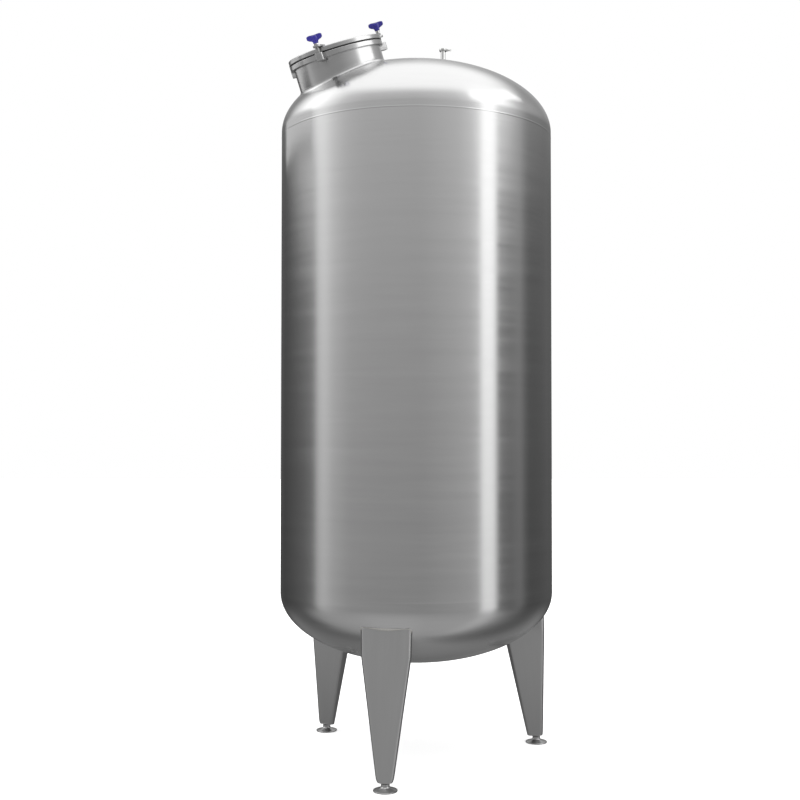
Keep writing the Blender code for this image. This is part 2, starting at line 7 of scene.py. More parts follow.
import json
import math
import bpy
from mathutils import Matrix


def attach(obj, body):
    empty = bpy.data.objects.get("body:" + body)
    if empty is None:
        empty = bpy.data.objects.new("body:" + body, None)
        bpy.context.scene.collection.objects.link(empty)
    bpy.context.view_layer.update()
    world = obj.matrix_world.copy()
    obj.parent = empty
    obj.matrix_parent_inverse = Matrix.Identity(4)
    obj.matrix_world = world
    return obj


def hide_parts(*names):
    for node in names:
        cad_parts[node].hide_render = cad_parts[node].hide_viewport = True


bl_info = {
    "name": "Vertical Storage Tank",
    "version": (1, 0, 0),
    "blender": (4, 5, 0),
    "location": "3D View > Sidebar > Tank",
    "description": "Finished surfaces of a stainless storage tank, built round its packed frame",
    "category": "Add Mesh",
}

from collections import namedtuple

import bmesh
import bpy
import numpy as np
from bpy.props import FloatProperty, FloatVectorProperty, PointerProperty
from bpy.types import Operator, Panel, PropertyGroup

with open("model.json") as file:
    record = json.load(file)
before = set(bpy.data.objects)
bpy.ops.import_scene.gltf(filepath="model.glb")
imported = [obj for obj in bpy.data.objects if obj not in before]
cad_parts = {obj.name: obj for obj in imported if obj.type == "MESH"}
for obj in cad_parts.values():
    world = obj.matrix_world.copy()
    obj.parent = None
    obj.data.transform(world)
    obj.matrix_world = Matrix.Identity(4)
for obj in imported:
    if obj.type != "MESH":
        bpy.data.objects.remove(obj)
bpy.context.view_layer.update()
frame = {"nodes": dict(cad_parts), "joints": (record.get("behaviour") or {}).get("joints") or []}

FULL_TURN = 2 * math.pi
MERGE_DISTANCE = 1e-6
SHARP_ANGLE = math.radians(38)
ROUND_STEPS = 96
SHELL_STEPS = 256

# Gaps between parts that lie on each other, that turn or stand in each other, and that pass loosely
CONTACT_GAP = 0.0002
FIT_GAP = 0.0003
LOOSE_GAP = 0.0004

# A place is an origin and its X, Y and Z axes as rows. A grid is rows and columns of points, the grain at
# each of them, and whether the last row and the last column join the first
Place = namedtuple("Place", "origin axes")
Grid = namedtuple("Grid", "points grain wrap_rows wrap_columns")


def unit(vectors):
    """Each vector divided by its own length."""
    return vectors / np.linalg.norm(vectors, axis=-1, keepdims=True)


def placed(points, place):
    """Local points carried into the frame: the origin plus each part times its axis."""
    return place.origin + np.asarray(points) @ place.axes


def around(place, angle, reach=0.0, height=0.0):
    """A place turned about its own Z, then moved outwards and up."""
    outward = math.cos(angle) * place.axes[0] + math.sin(angle) * place.axes[1]
    sideways = math.cos(angle) * place.axes[1] - math.sin(angle) * place.axes[0]
    axes = np.array([outward, sideways, place.axes[2]])
    return Place(place.origin + reach * outward + height * place.axes[2], axes)


def on_side(place):
    """The same place lying down: its X stays, its Y points up and its Z points to the right."""
    return Place(place.origin, np.array([place.axes[0], place.axes[2], -place.axes[1]]))


def whole_turn(steps):
    """Angles spread evenly over a full turn."""
    return FULL_TURN * np.arange(steps) / steps


def circled(radius, angle, height):
    """Points by radius, angle round Z and height: (r cos a, r sin a, h)."""
    return np.stack([radius * np.cos(angle), radius * np.sin(angle), height + 0 * angle], axis=-1)


def node_points(name):
    """The corners of a CAD node's mesh, one a row."""
    vertices = frame["nodes"][name].data.vertices
    flat = np.empty(len(vertices) * 3)
    vertices.foreach_get("co", flat)
    return flat.reshape(-1, 3)


def extent(name, place):
    """Lowest and highest corner of a node, measured along a place's own axes."""
    local = (node_points(name) - place.origin) @ place.axes.T
    return local.min(axis=0), local.max(axis=0)


# Brightness of the studio that the steel mirrors, by compass degrees from the camera's side, right being
# positive: at eye level, higher up and lower down. Rows are the room behind on the left, the left soft box,
# the pale wall in front, the right soft box, and the room on the right and behind.
EYE_LEVEL = (
    (-180, 0.12), (-160, 0.10), (-143, 0.09), (-122, 0.13), (-107, 0.17), (-97, 0.23),
    (-93, 0.34), (-88.5, 0.76), (-82, 0.86), (-72, 0.64),
    (-56, 0.50), (-30, 0.46), (5, 0.44), (30, 0.52), (45, 0.58), (53, 0.68),
    (56, 1.5), (67, 1.5),
    (71, 0.22), (84, 0.20), (96, 0.29), (101, 0.18), (108, 0.12), (143, 0.15), (160, 0.12), (180, 0.12),
)
OVERHEAD = (
    (-180, 0.4), (-150, 0.24), (-140, 0.38),
    (-128, 0.95), (-112, 1.6), (-100, 1.78), (-91, 1.5), (-81, 1.2), (-65, 0.76),
    (-45, 0.60), (0, 0.58), (35, 0.72), (48, 0.98),
    (56, 1.7), (74, 1.75), (82, 1.5), (90, 1.1),
    (98, 0.7), (108, 0.5), (125, 0.42), (143, 0.32), (180, 0.5),
)
UNDERNEATH = (
    (-180, 0.40), (-150, 0.34), (-134, 0.18), (-118, 0.14),
    (-107, 0.34), (-98, 0.52), (-60, 0.54),
    (-40, 0.59), (-8, 0.59), (10, 0.54), (52, 0.56),
    (62, 0.74), (70, 0.70), (80, 0.42),
    (90, 0.27), (100, 0.19), (112, 0.12), (126, 0.15), (142, 0.36), (155, 0.46), (180, 0.44),
)
# Where one band gives way to the next, by degrees over the horizon, and the ceiling over them
EYE_LEVEL_ON, OVERHEAD_ON, CEILING_ON = (-30, -11), (10, 21), (36, 58)
CEILING = 1.35
# What all of it is multiplied by, by degrees over the horizon: below it, about it and above it
FALL_OFF = (
    (-90, 0.84), (-40, 0.84), (-25, 0.76), (-13, 0.62),
    (-4, 0.76), (0, 0.84), (3, 0.92), (8, 1.02),
    (20, 1.12), (90, 1.12),
)
# Upright soft boxes that only the manway mirrors: level, distance to the right, ends and heights
NEAR_LIGHTS = (
    (1.9, 1.1, (-1.35, -0.05), (3.3, 3.75)),
    (0.75, -1.3, (-0.3, 0.8), (2.84, 3.12)),
)
# The tank's shade on the floor, wider than deep and a little behind the axis: how dense it is by the
# distance from its middle
SHADE = ((0.0, 0.9), (0.15, 0.75), (0.3, 0.55), (0.45, 0.45), (0.6, 0.35), (0.9, 0.15), (1.2, 0.0))
SHADE_RIM = SHADE[-1][0]
SHADE_WIDTH = 2.1
SHADE_BACK = 0.35
SHADE_HEIGHT = 0.004


# How far the wings of each knob are turned in the picture, and how high the ring's underside stands over the
# point where the manway's axis leaves the head
KNOB_TURNS = np.radians((105, -15))
RIM_FOOT_HEIGHT = 0.053
# Where the frame puts the vessel, the manway, its screws and its hinge
TANK = Place(np.zeros(3), np.eye(3))
HEAD_LOW, HEAD_HIGH = extent("top_head", TANK)
SHELL_LOW, SHELL_HIGH = extent("shell_plate_1", TANK)
CAD_RADIUS = float(HEAD_HIGH[0])
TOP_SEAM = float(SHELL_HIGH[2])
BOTTOM_SEAM = float(SHELL_LOW[2])
JOINTS = {joint["name"]: joint for joint in frame["joints"]}
SCREW_POINTS = [np.array(JOINTS[f"wing_screw_{number}_turn"]["pos_m"]) for number in (1, 2)]
UPWARD = unit(np.array(JOINTS["wing_screw_1_turn"]["axis"]))
LEVEL = unit(np.cross((0, 0, 1), UPWARD))
DOWNHILL = np.cross(LEVEL, UPWARD)
NECK_POINTS = node_points("manway_rim")
RIM_MIDDLE = (NECK_POINTS.min(axis=0) + NECK_POINTS.max(axis=0)) / 2
MANWAY_AXES = np.array([DOWNHILL, LEVEL, UPWARD])
RIM_LOCAL = (NECK_POINTS - RIM_MIDDLE) @ MANWAY_AXES.T
RIM_CENTER = RIM_MIDDLE + (RIM_LOCAL.min(axis=0) + RIM_LOCAL.max(axis=0)) / 2 @ MANWAY_AXES
RIM_HEIGHT = float(np.ptp(RIM_LOCAL[:, 2]))
MANWAY = Place(RIM_CENTER - (RIM_FOOT_HEIGHT + RIM_HEIGHT / 2) * UPWARD, MANWAY_AXES)
RIM_RADIUS = float(extent("manway_rim", MANWAY)[1][0])
LID_LOW, LID_HIGH = extent("manway_lid", MANWAY)
HINGE_POINT = np.array(JOINTS["lid_hinge"]["pos_m"])
VENT_LOW, VENT_HIGH = extent("vent_cap", TANK)
VENT = Place(np.array([*((VENT_LOW + VENT_HIGH) / 2)[:2], VENT_HIGH[2]]), np.eye(3))
OUTLET_FOOT = float(extent("outlet_ferrule", TANK)[0][2])
LEG_COUNT = 3

# Columns of half a leg's section: how far along the face's bend, along the back's bend, from the one to the
# other, and out from the middle
ACROSS = [(0, 0, 0, part) for part in np.linspace(0, 0.97, 12)]
FACE_BEND = [(part, 0, 0, 1) for part in (0, 0.05, 0.2, 0.4, 0.6, 0.8, 0.95, 1)]
SIDE = [(1, 0, part, 1) for part in np.linspace(0, 1, 16)[1:-1]]
BACK_BEND = [(1, part, 1, 1) for part in (0, 0.1, 0.4, 0.7, 1)]
LEG_COLUMNS = np.array(ACROSS + FACE_BEND + SIDE + BACK_BEND + [(1, 1, 1, 0.1)]).T


def manway_place(point):
    """The place on the manway below a point, with its X pointing outwards."""
    local = MANWAY_AXES @ (point - MANWAY.origin)
    return around(MANWAY, math.atan2(local[1], local[0]), math.hypot(local[0], local[1]))


def foot_place(number):
    """The place on the floor under a foot, with its X pointing away from the tank's axis."""
    low, high = extent(f"foot_{number}", TANK)
    middle = (low + high) / 2
    return around(TANK, math.atan2(middle[1], middle[0]), math.hypot(middle[0], middle[1]))


# Colours and sizes that a user would change
def linear(code):
    """An sRGB hex colour as linear red, green and blue."""
    values = [int(code[start : start + 2], 16) / 255 for start in (1, 3, 5)]
    return tuple(v / 12.92 if v <= 0.04045 else ((v + 0.055) / 1.055) ** 2.4 for v in values)


def length(label, description, default):
    """A size in metres."""
    return FloatProperty(name=label, description=description, default=default, min=0.0, unit="LENGTH")


def turn(label, description, degrees):
    """An angle, given in degrees."""
    return FloatProperty(name=label, description=description, default=math.radians(degrees), subtype="ANGLE")


def share(label, description, default):
    """A plain factor."""
    return FloatProperty(name=label, description=description, default=default, min=0.0, soft_max=2.0)


def color(label, description, code):
    """A colour, given as an sRGB hex code."""
    return FloatVectorProperty(
        name=label, description=description, default=linear(code), min=0.0, max=1.0, subtype="COLOR"
    )


class VesselSizes(PropertyGroup):
    radius: length("Radius", "Outside of the shell between its seams", CAD_RADIUS - 0.0005)
    wall: length("Wall", "Thickness of the shell and heads", 0.003)
    flange: length("Straight flange", "Straight stretch of a head before it curves", 0.025)
    depth: length("Head depth", "Depth of a head's curved part, outside", 0.3028)
    seam_width: length("Seam width", "Width of the ground weld round the shell", 0.011)
    seam_rise: length("Seam rise", "How far the upper ground weld stands proud", 0.00045)
    flush_rise: length("Flush seam rise", "How far the lower ground weld stands proud", 0.0001)
    bead: length("Bead", "Half width of an unground weld", 0.0028)


class ManwaySizes(PropertyGroup):
    neck: length("Neck radius", "Outside of the neck", 0.1925)
    collar_rise: length("Collar rise", "How far the head is drawn up the neck", 0.013)
    collar_spread: length("Collar spread", "How far the drawn collar spreads on the head", 0.012)
    rim: length("Rim radius", "Outside of the ring round the mouth", RIM_RADIUS)
    rim_foot: length("Rim foot", "Height of the ring's underside", RIM_FOOT_HEIGHT)
    rim_top: length("Rim top", "Height of the ring's top", RIM_FOOT_HEIGHT + RIM_HEIGHT)
    lid: length("Lid radius", "Outside of the lid's skirt", float(LID_HIGH[0]))
    skirt_foot: length("Skirt foot", "Height of the skirt's lower edge", float(LID_LOW[2]))
    lid_top: length("Lid top", "Height of the lid's flat edge", 0.097)
    crown: length("Crown radius", "Where the lid starts to rise", 0.162)
    crown_rise: length("Crown rise", "How far the lid's middle rises", 0.0118)
    gasket: length("Gasket radius", "Outside of the gasket's lip", 0.2036)
    gasket_width: length("Gasket width", "Width of the gasket", 0.0155)


class ClosureSizes(PropertyGroup):
    ear_length: length("Ear length", "Length of the bar on the lid", 0.080)
    ear_width: length("Ear width", "Width of the bar and of the block", 0.034)
    ear_thickness: length("Ear thickness", "Thickness of the bar", 0.008)
    lug_foot: length("Lug foot", "Height of the block's underside", 0.041)
    lug_reach: length("Lug reach", "How far the block stands out", 0.0385)
    lug_hole: length("Lug hole", "Radius of the hole in the block", 0.009)
    screw: length("Screw radius", "Outside of the thread", 0.006)
    pitch: length("Pitch", "Rise of the thread in one turn, drawn coarse", 0.0025)
    tip: length("Tip height", "Height of the screw's tip", 0.062)
    collar: length("Collar radius", "Radius of the collar that bears on the bar", 0.011)
    sleeve: length("Sleeve radius", "Radius of the metal sleeve under the knob", 0.0092)
    knob_height: length("Knob height", "Height of the knob", 0.0365)
    knob_span: length("Knob span", "Width across the wings", 0.0655)
    wing: length("Wing", "Half thickness of the wings", 0.0078)
    voxel: length("Moulding step", "Grid that blends the knob's hub and wings", 0.0009)


class HingeSizes(PropertyGroup):
    width: length("Width", "Width across the cheeks", 0.062)
    cheek: length("Cheek", "Thickness of a cheek", 0.009)
    cheek_depth: length("Cheek depth", "Half depth of a cheek", 0.0115)
    shelf: length("Shelf", "Height of the shelf over the ring's underside", 0.006)
    play: length("Play", "Gap beside the strap", 0.0015)
    pin: length("Pin radius", "Radius of the pin", 0.0055)
    stand_out: length("Stand out", "How far the pin shows past a cheek", 0.003)


class VentSizes(PropertyGroup):
    radius: length("Radius", "Outside of the pipe", 0.0107)
    wall: length("Wall", "Thickness of the pipe", 0.002)
    lip: length("Lip", "How far the ferrules stand out", 0.0022)
    split: length("Split", "Depth of the joint below the cap's top", 0.0083)
    clamp: length("Clamp radius", "Outside of the clamp", 0.0168)
    clamp_height: length("Clamp height", "Height of the clamp", 0.012)
    ear: length("Ear reach", "Reach of the clamp's ear from the pipe's axis", 0.024)


class OutletSizes(PropertyGroup):
    radius: length("Radius", "Outside of the outlet pipe", 0.019)
    wall: length("Wall", "Thickness of the pipe", 0.0015)
    rim: length("Rim radius", "Outside of the clamping rim", 0.02525)
    rim_thickness: length("Rim thickness", "Thickness of the rim's edge", 0.0028)


class LegSizes(PropertyGroup):
    plate: length("Plate", "Thickness of the folded plate", 0.004)
    foot: length("Foot height", "Height of the leg's lower edge", 0.035)
    face_top: length("Face reach at the top", "Reach of the face at the lean's upper mark", 0.576)
    face_foot: length("Face reach at the foot", "Reach of the face at the foot", 0.602)
    lean_height: length("Lean height", "Upper mark of the lean", 0.640)
    taper_top: length("Taper top", "Height where the taper ends", 0.530)
    width_top: length("Width at the top", "Width over the taper", 0.230)
    width_foot: length("Width at the foot", "Width at the foot", 0.091)
    depth_foot: length("Depth at the foot", "Depth of the section at the foot", 0.0655)
    depth_slope: share("Depth slope", "Growth of the depth with height", 0.191)
    back_foot: length("Back at the foot", "Width of the narrow back at the foot", 0.0245)
    back_slope: share("Back slope", "Growth of the back's width with height", 0.050)
    bend: length("Bend radius", "Outer radius of the face's bends", 0.016)
    back_bend: length("Back bend radius", "Outer radius of the back's bends", 0.012)
    rounding: length("Foot rounding", "Height of the rounded lower corners", 0.028)
    draw: share("Foot draw", "How far the lower corners draw in, as a share of the rounding", 0.4)
    face_height: length("Face height", "Height of the face's level upper edge", 0.6415)
    base_height: length("Base plate height", "Height of the plate in the foot", 0.052)
    base_thickness: length("Base plate thickness", "Thickness of the plate in the foot", 0.008)


class FootSizes(PropertyGroup):
    radius: length("Radius", "Radius of the foot plate", 0.049)
    edge: length("Edge", "Thickness at the rim", 0.006)
    dish: length("Dish", "Height where the plate meets its hub", 0.015)
    hub: length("Hub radius", "Radius of the hub", 0.0175)
    hub_top: length("Hub top", "Height of the hub", 0.030)
    stud: length("Stud radius", "Outside of the stud's thread", 0.010)
    stud_top: length("Stud top", "Height of the stud's end", 0.085)
    pitch: length("Pitch", "Rise of the thread in one turn", 0.0025)
    nut: length("Nut", "Half width across the lock nut's flats", 0.015)


class Finishes(PropertyGroup):
    steel: color("Steel", "Satin stainless of the shell and heads", "#cfcfcf")
    plate: color("Plate", "Brushed stainless of the legs", "#c2c2c2")
    bright: color("Bright steel", "Turned and polished small parts", "#d6d6d5")
    weld: color("Weld", "Pickled weld metal", "#dcdad6")
    rubber: color("Rubber", "Gasket", "#1b1b1d")
    plastic: color("Plastic", "Moulded wing knobs", "#2f2a86")
    floor: color("Floor", "Studio floor", "#f5f5f5")


class StudioSettings(PropertyGroup):
    distance: length("Camera distance", "Camera's distance from the tank's axis", 5.305)
    height: length("Camera height", "Camera's height over the floor", 1.428)
    pitch: turn("Camera pitch", "How far the camera looks up", 1.513)
    lens: FloatProperty(name="Lens", description="Focal length on a 36 mm sensor", default=53.28)
    shift: FloatProperty(name="Shift", description="Sideways shift of the picture", default=-0.0204)
    floor_size: length("Floor size", "Side of the square floor", 60.0)
    floor_glow: share("Floor glow", "Light that the floor gives back at least", 0.55)
    shade: share("Shade", "Brightness of the shaded floor under the tank, as the steel mirrors it", 0.14)


def user_values(name):
    """The scene's own group of sizes or colours by a short name, such as "vessel"."""
    return getattr(bpy.context.scene, "tank_" + name)


# Grids of points and the mesh made of them
def run_length(points, way):
    """Distance run so far along the rows (way 0) or columns (way 1) of a grid."""
    steps = np.linalg.norm(np.diff(points, axis=way), axis=-1)
    start = np.zeros_like(np.take(steps, [0], axis=way))
    return np.concatenate([start, np.cumsum(steps, axis=way)], axis=way)


def round_grid(points, wrap_rows=False):
    """A grid whose columns run round; its grain is two slow parts round the axis and a fast one across."""
    columns = points.shape[1]
    angle = whole_turn(columns)
    girth = np.linalg.norm(points - np.roll(points, 1, axis=1), axis=-1).sum(axis=1).max()
    across = run_length(points, 0).mean(axis=1)[:, None] + 0 * angle
    reach = girth / FULL_TURN
    slow = [reach * np.cos(angle) + 0 * across, reach * np.sin(angle) + 0 * across]
    return Grid(points, np.stack([*slow, across], axis=-1), wrap_rows, True)


def flat_grid(points, wrap_rows=False):
    """A grid with open columns; its grain is the run along them, nothing, and the run across."""
    along = run_length(points, 1)
    across = run_length(points, 0)
    return Grid(points, np.stack([along, 0 * along, across], axis=-1), wrap_rows, False)


def grid_corners(grid):
    """The four corners of each square between neighbouring rows and columns, and their place on the grid."""
    rows, columns = grid.points.shape[:2]
    row = np.arange(rows if grid.wrap_rows else rows - 1)[:, None]
    column = np.arange(columns if grid.wrap_columns else columns - 1)[None, :]
    row, column = (part.ravel() for part in np.broadcast_arrays(row, column))
    square = ((0, 0), (0, 1), (1, 1), (1, 0))
    faces = np.stack([(row + r) % rows * columns + (column + c) % columns for r, c in square], axis=1)
    spots = np.stack([np.stack([(column + c) / columns, (row + r) / rows], axis=-1) for r, c in square], 1)
    return faces, spots


def grids_mesh(name, grids):
    """One mesh of several grids: doubles merged, faces outwards, flat sides kept crisp."""
    faces, spots, start = [], [], 0
    for grid in grids:
        corners, places = grid_corners(grid)
        faces.append(corners + start)
        spots.append(places)
        start += grid.points.shape[0] * grid.points.shape[1]
    mesh = bpy.data.meshes.new(name)
    points = np.concatenate([grid.points.reshape(-1, 3) for grid in grids])
    mesh.from_pydata(points.tolist(), [], np.concatenate(faces).tolist())
    layer = mesh.uv_layers.new(name="grain_map")
    layer.data.foreach_set("uv", np.concatenate(spots).ravel())
    grain = mesh.attributes.new("grain", "FLOAT_VECTOR", "POINT")
    grain.data.foreach_set("vector", np.concatenate([grid.grain.reshape(-1, 3) for grid in grids]).ravel())
    bm = bmesh.new()
    bm.from_mesh(mesh)
    bmesh.ops.remove_doubles(bm, verts=bm.verts, dist=MERGE_DISTANCE)
    bmesh.ops.recalc_face_normals(bm, faces=bm.faces)
    bm.to_mesh(mesh)
    bm.free()
    mesh.shade_smooth()
    mesh.set_sharp_from_angle(angle=SHARP_ANGLE)
    return mesh


def new_object(name, data):
    """An object that is linked to the scene."""
    obj = bpy.data.objects.new(name, data)
    bpy.context.scene.collection.objects.link(obj)
    return obj


def hang(obj, finish, slot, nodes=(), body="tank"):
    """Gives an object its finish and lets it ride on a body in place of CAD nodes."""
    obj.data.materials.append(finish)
    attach(obj, body)
    if nodes:
        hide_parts(*nodes)


def add_piece(name, grids, *placing):
    """An object made of grids and hung with its finish, slot, nodes and body."""
    hang(new_object(name, grids_mesh(name, grids)), *placing)


def softened(corners, radius, steps=5, closed=False):
    """A line with rounded corners.

    Each corner is a quadratic curve, and a short straight before and after it keeps the sides flat.
    """
    lead, most = 1.35, 0.49
    corners = np.asarray(corners, float)
    radius = np.broadcast_to(np.asarray(radius, float), len(corners)).copy()
    if not closed:
        radius[[0, -1]] = 0.0
    t = np.linspace(0, 1, steps)[:, None, None]

    def toward(other, far):
        """Points from the corners towards the others, far times the radius off but short of halfway."""
        step = other - corners
        size = np.maximum(np.linalg.norm(step, axis=1, keepdims=True), 1e-12)
        return corners + step * np.minimum(far * radius[:, None] / size, most)

    before, after = np.roll(corners, 1, axis=0), np.roll(corners, -1, axis=0)
    start, end = toward(before, 1.0), toward(after, 1.0)
    curve = (1 - t) ** 2 * start + 2 * t * (1 - t) * corners + t**2 * end
    lead_in, lead_out = toward(before, lead)[None], toward(after, lead)[None]
    return np.concatenate([lead_in, curve, lead_out]).transpose(1, 0, 2).reshape(-1, 2)


def turned(profile, steps=ROUND_STEPS):
    """A profile of radius and height carried round Z."""
    profile = np.asarray(profile)
    return circled(profile[:, 0, None], whole_turn(steps), profile[:, 1, None])


def turned_grid(profile, place, closed=False, steps=ROUND_STEPS):
    """A profile turned about a place's own Z; a closed one joins its last point to its first."""
    return round_grid(placed(turned(profile, steps), place), closed)


def rectangle(left, right, low, high):
    """A rectangle's corners, counterclockwise from the lower left."""
    return [(left, low), (right, low), (right, high), (left, high)]


def slab_grid(outline, low, high, place, edge, hole=None):
    """An outline carried from low to high with its rims rounded off by a quarter circle.

    A line of points a little further in than the rim keeps the sides flat. The grid closes at the middle
    of the outline, or at a round hole's wall, whose points lie on the lines from the hole's middle to the
    outline.
    """
    steps, further_in = 4, 1.4
    outline = np.asarray(outline, float)
    along = unit(np.roll(outline, -1, axis=0) - np.roll(outline, 1, axis=0))
    sideways = np.stack([along[:, 1], -along[:, 0]], axis=1)
    middle = outline.mean(axis=0) if hole is None else np.zeros(2)
    radius = 0.0 if hole is None else hole
    inner = middle + radius * unit(outline - middle)
    t = np.linspace(0, math.pi / 2, steps)[:, None, None]
    rim = outline - sideways * edge * (1 - np.sin(t))
    hold = outline - sideways * edge * further_in
    flat = np.concatenate([inner[None], hold[None], rim, rim[::-1], hold[None], inner[None]])
    rise = low + edge * (1 - np.cos(t[:, 0, 0]))
    fall = high - edge * (1 - np.cos(t[::-1, 0, 0]))
    heights = np.concatenate([[low, low], rise, fall, [high, high]])
    points = np.concatenate([flat, np.broadcast_to(heights[:, None, None], (*flat.shape[:2], 1))], axis=2)
    return round_grid(placed(points, place), hole is not None)


def arc(center, radius, start, end, steps=16):
    """Part of a circle between two angles in degrees: the center plus (r cos a, r sin a)."""
    angle = np.radians(np.linspace(start, end, steps))
    return np.stack([center[0] + radius * np.cos(angle), center[1] + radius * np.sin(angle)], axis=1)


def read_off(path, spots):
    """Points of a closed path at the distances that spots works out from the distance run so far."""
    closed = np.vstack([path, path[:1]])
    run = run_length(closed, 0)
    at = spots(run)
    return np.stack([np.interp(at, run, part) for part in closed.T], axis=1)


def dense(outline, step=0.004):
    """A closed outline with points added so that none lies further than a step from the next."""
    return read_off(outline, lambda run: np.union1d(run[:-1], np.arange(0.0, run[-1], step)))


def even_path(path, step):
    """A closed path with points a step apart."""
    return read_off(path, lambda run: np.linspace(0, run[-1], int(run[-1] / step), endpoint=False))


def hexagon(flat, steps=60):
    """A nut's outline: the distance to a flat side is the half width over the cosine of the turn from it."""
    angle = whole_turn(steps)
    off = np.mod(angle + math.pi / 6, math.pi / 3) - math.pi / 6
    return circled(flat / np.cos(off), angle, 0)[:, :2]


def threaded(radius, low, high, pitch, place, steps=36):
    """A screw thread: the radius falls and rises once a pitch along Z and once a turn round it."""
    rows_a_turn, depth = 8, 0.55 * pitch
    height = np.linspace(low, high, int((high - low) / pitch * rows_a_turn))[:, None]
    angle = whole_turn(steps)
    wave = 0.5 - 0.5 * np.cos(FULL_TURN * height / pitch - angle)
    ends = np.clip(np.minimum(height - low, high - height) / pitch, 0, 1)
    reach = radius - depth * (1 - wave * ends)
    points = circled(reach, angle, height)
    caps = [points[[0]] * (0, 0, 1), points, points[[-1]] * (0, 0, 1)]
    return round_grid(placed(np.concatenate(caps), place))


def bead_grid(path, upward, width, rise, ripple=0.0045, closed=True):
    """A weld bead: a low oval carried along a path, swelling and dipping once a ripple."""
    sides, dip = 8, 0.18
    if closed:
        along = unit(np.roll(path, -1, axis=0) - np.roll(path, 1, axis=0))
    else:
        along = unit(np.gradient(path, axis=0))
    sideways = unit(np.cross(along, upward))
    run = run_length(path, 0)
    count = max(1, round(run[-1] / ripple))
    scale = 1 - dip + dip * np.abs(np.sin(math.pi * count * run / run[-1]))[:, None]
    angle = whole_turn(sides)[:, None, None]
    points = path + scale * (width * np.cos(angle) * sideways + rise * np.sin(angle) * upward)
    if closed:
        return round_grid(points, True)
    ends = np.broadcast_to(path[[0, -1]], (sides, 2, 3))
    return flat_grid(np.concatenate([ends[:, :1], points, ends[:, 1:]], axis=1), True)


# Finishes
def add(tree, kind, inputs=(), **settings):
    """A shader node with its settings; an input is a value, or the socket that feeds it."""
    node = tree.nodes.new("ShaderNode" + kind)
    for key, value in settings.items():
        setattr(node, key, value)
    for key, value in dict(inputs).items():
        if isinstance(value, bpy.types.NodeSocket):
            tree.links.new(value, node.inputs[key])
        else:
            node.inputs[key].default_value = value
    return node


def new_finish(name, make, *values, **look):
    """A material made once by name, whose nodes come from a recipe that ends in a shader."""
    finish = bpy.data.materials.get(name)
    if finish is None:
        finish = bpy.data.materials.new(name)
        finish.use_nodes = True
        tree = finish.node_tree
        tree.nodes.clear()
        shader = make(tree, *values, **look)
        add(tree, "OutputMaterial", {"Surface": shader.outputs[0]})
    return finish


def brushed(tree, tint, roughness, streak, run, depth, stretch):
    """Stainless steel rubbed with grit: hair lines along the grain, with wider and fainter bands over them.

    The lines are a noise squeezed to a streak's width across the grain and drawn out to a run's length along
    it. They shift the tone and the roughness a little and give a shallow bump, and the stretched gloss draws
    lights out across the lines.
    """
    band_run, band_streak, band_share, spread = 3.5 * run, streak / 0.16, 0.42, 0.03
    usual = {"From Min": 0.25, "From Max": 0.75}
    grain = add(tree, "Attribute", attribute_name="grain").outputs["Vector"]
    squeezed = add(tree, "Mapping", {"Vector": grain, "Scale": (1 / run, 1 / run, 1 / streak)})
    fine = {"Vector": squeezed.outputs[0], "Scale": 1.0, "Detail": 5.0, "Roughness": 0.65}
    lines = add(tree, "TexNoise", fine).outputs[0]
    scale = (1 / band_run, 1 / band_run, 1 / band_streak)
    wide = add(tree, "Mapping", {"Vector": grain, "Scale": scale})
    bands = add(tree, "TexNoise", {"Vector": wide.outputs[0], "Scale": 1.0, "Detail": 3.0}).outputs[0]
    both = add(tree, "Mix", {"Factor": band_share, "A": lines, "B": bands}).outputs[0]
    tone = {"Value": both, "To Min": 0.96, "To Max": 1.025}
    tone = add(tree, "MapRange", {**usual, **tone}, clamp=False)
    shade = add(tree, "VectorMath", {0: (*tint,), "Scale": tone.outputs[0]}, operation="SCALE")
    wear = {"Value": bands, "To Min": roughness - spread, "To Max": roughness + spread}
    wear = add(tree, "MapRange", {**usual, **wear}, clamp=False)
    bump = add(tree, "Bump", {"Height": lines, "Strength": 0.12, "Distance": depth})
    tangent = add(tree, "Tangent", direction_type="UV_MAP", uv_map="grain_map")
    values = {
        "Base Color": shade.outputs[0],
        "Roughness": wear.outputs[0],
        "Normal": bump.outputs[0],
        "Tangent": tangent.outputs[0],
        "Metallic": 1.0,
        "Anisotropic": stretch,
        "Anisotropic Rotation": 0.25,
    }
    return add(tree, "BsdfPrincipled", values)


def weld_metal(tree, tint):
    """Pickled weld: bright, slightly grainy metal over the ripples of its mesh, with grains of 2 mm."""
    spot = add(tree, "TexCoord").outputs["Object"]
    grit = add(tree, "TexNoise", {"Vector": spot, "Scale": 420.0, "Detail": 3.0})
    bump = add(tree, "Bump", {"Height": grit.outputs[0], "Strength": 0.3, "Distance": 0.0004})
    wear = add(tree, "MapRange", {"Value": grit.outputs[0], "To Min": 0.2, "To Max": 0.4})
    values = {
        "Base Color": (*tint, 1),
        "Metallic": 1.0,
        "Roughness": wear.outputs[0],
        "Normal": bump.outputs[0],
    }
    return add(tree, "BsdfPrincipled", values)


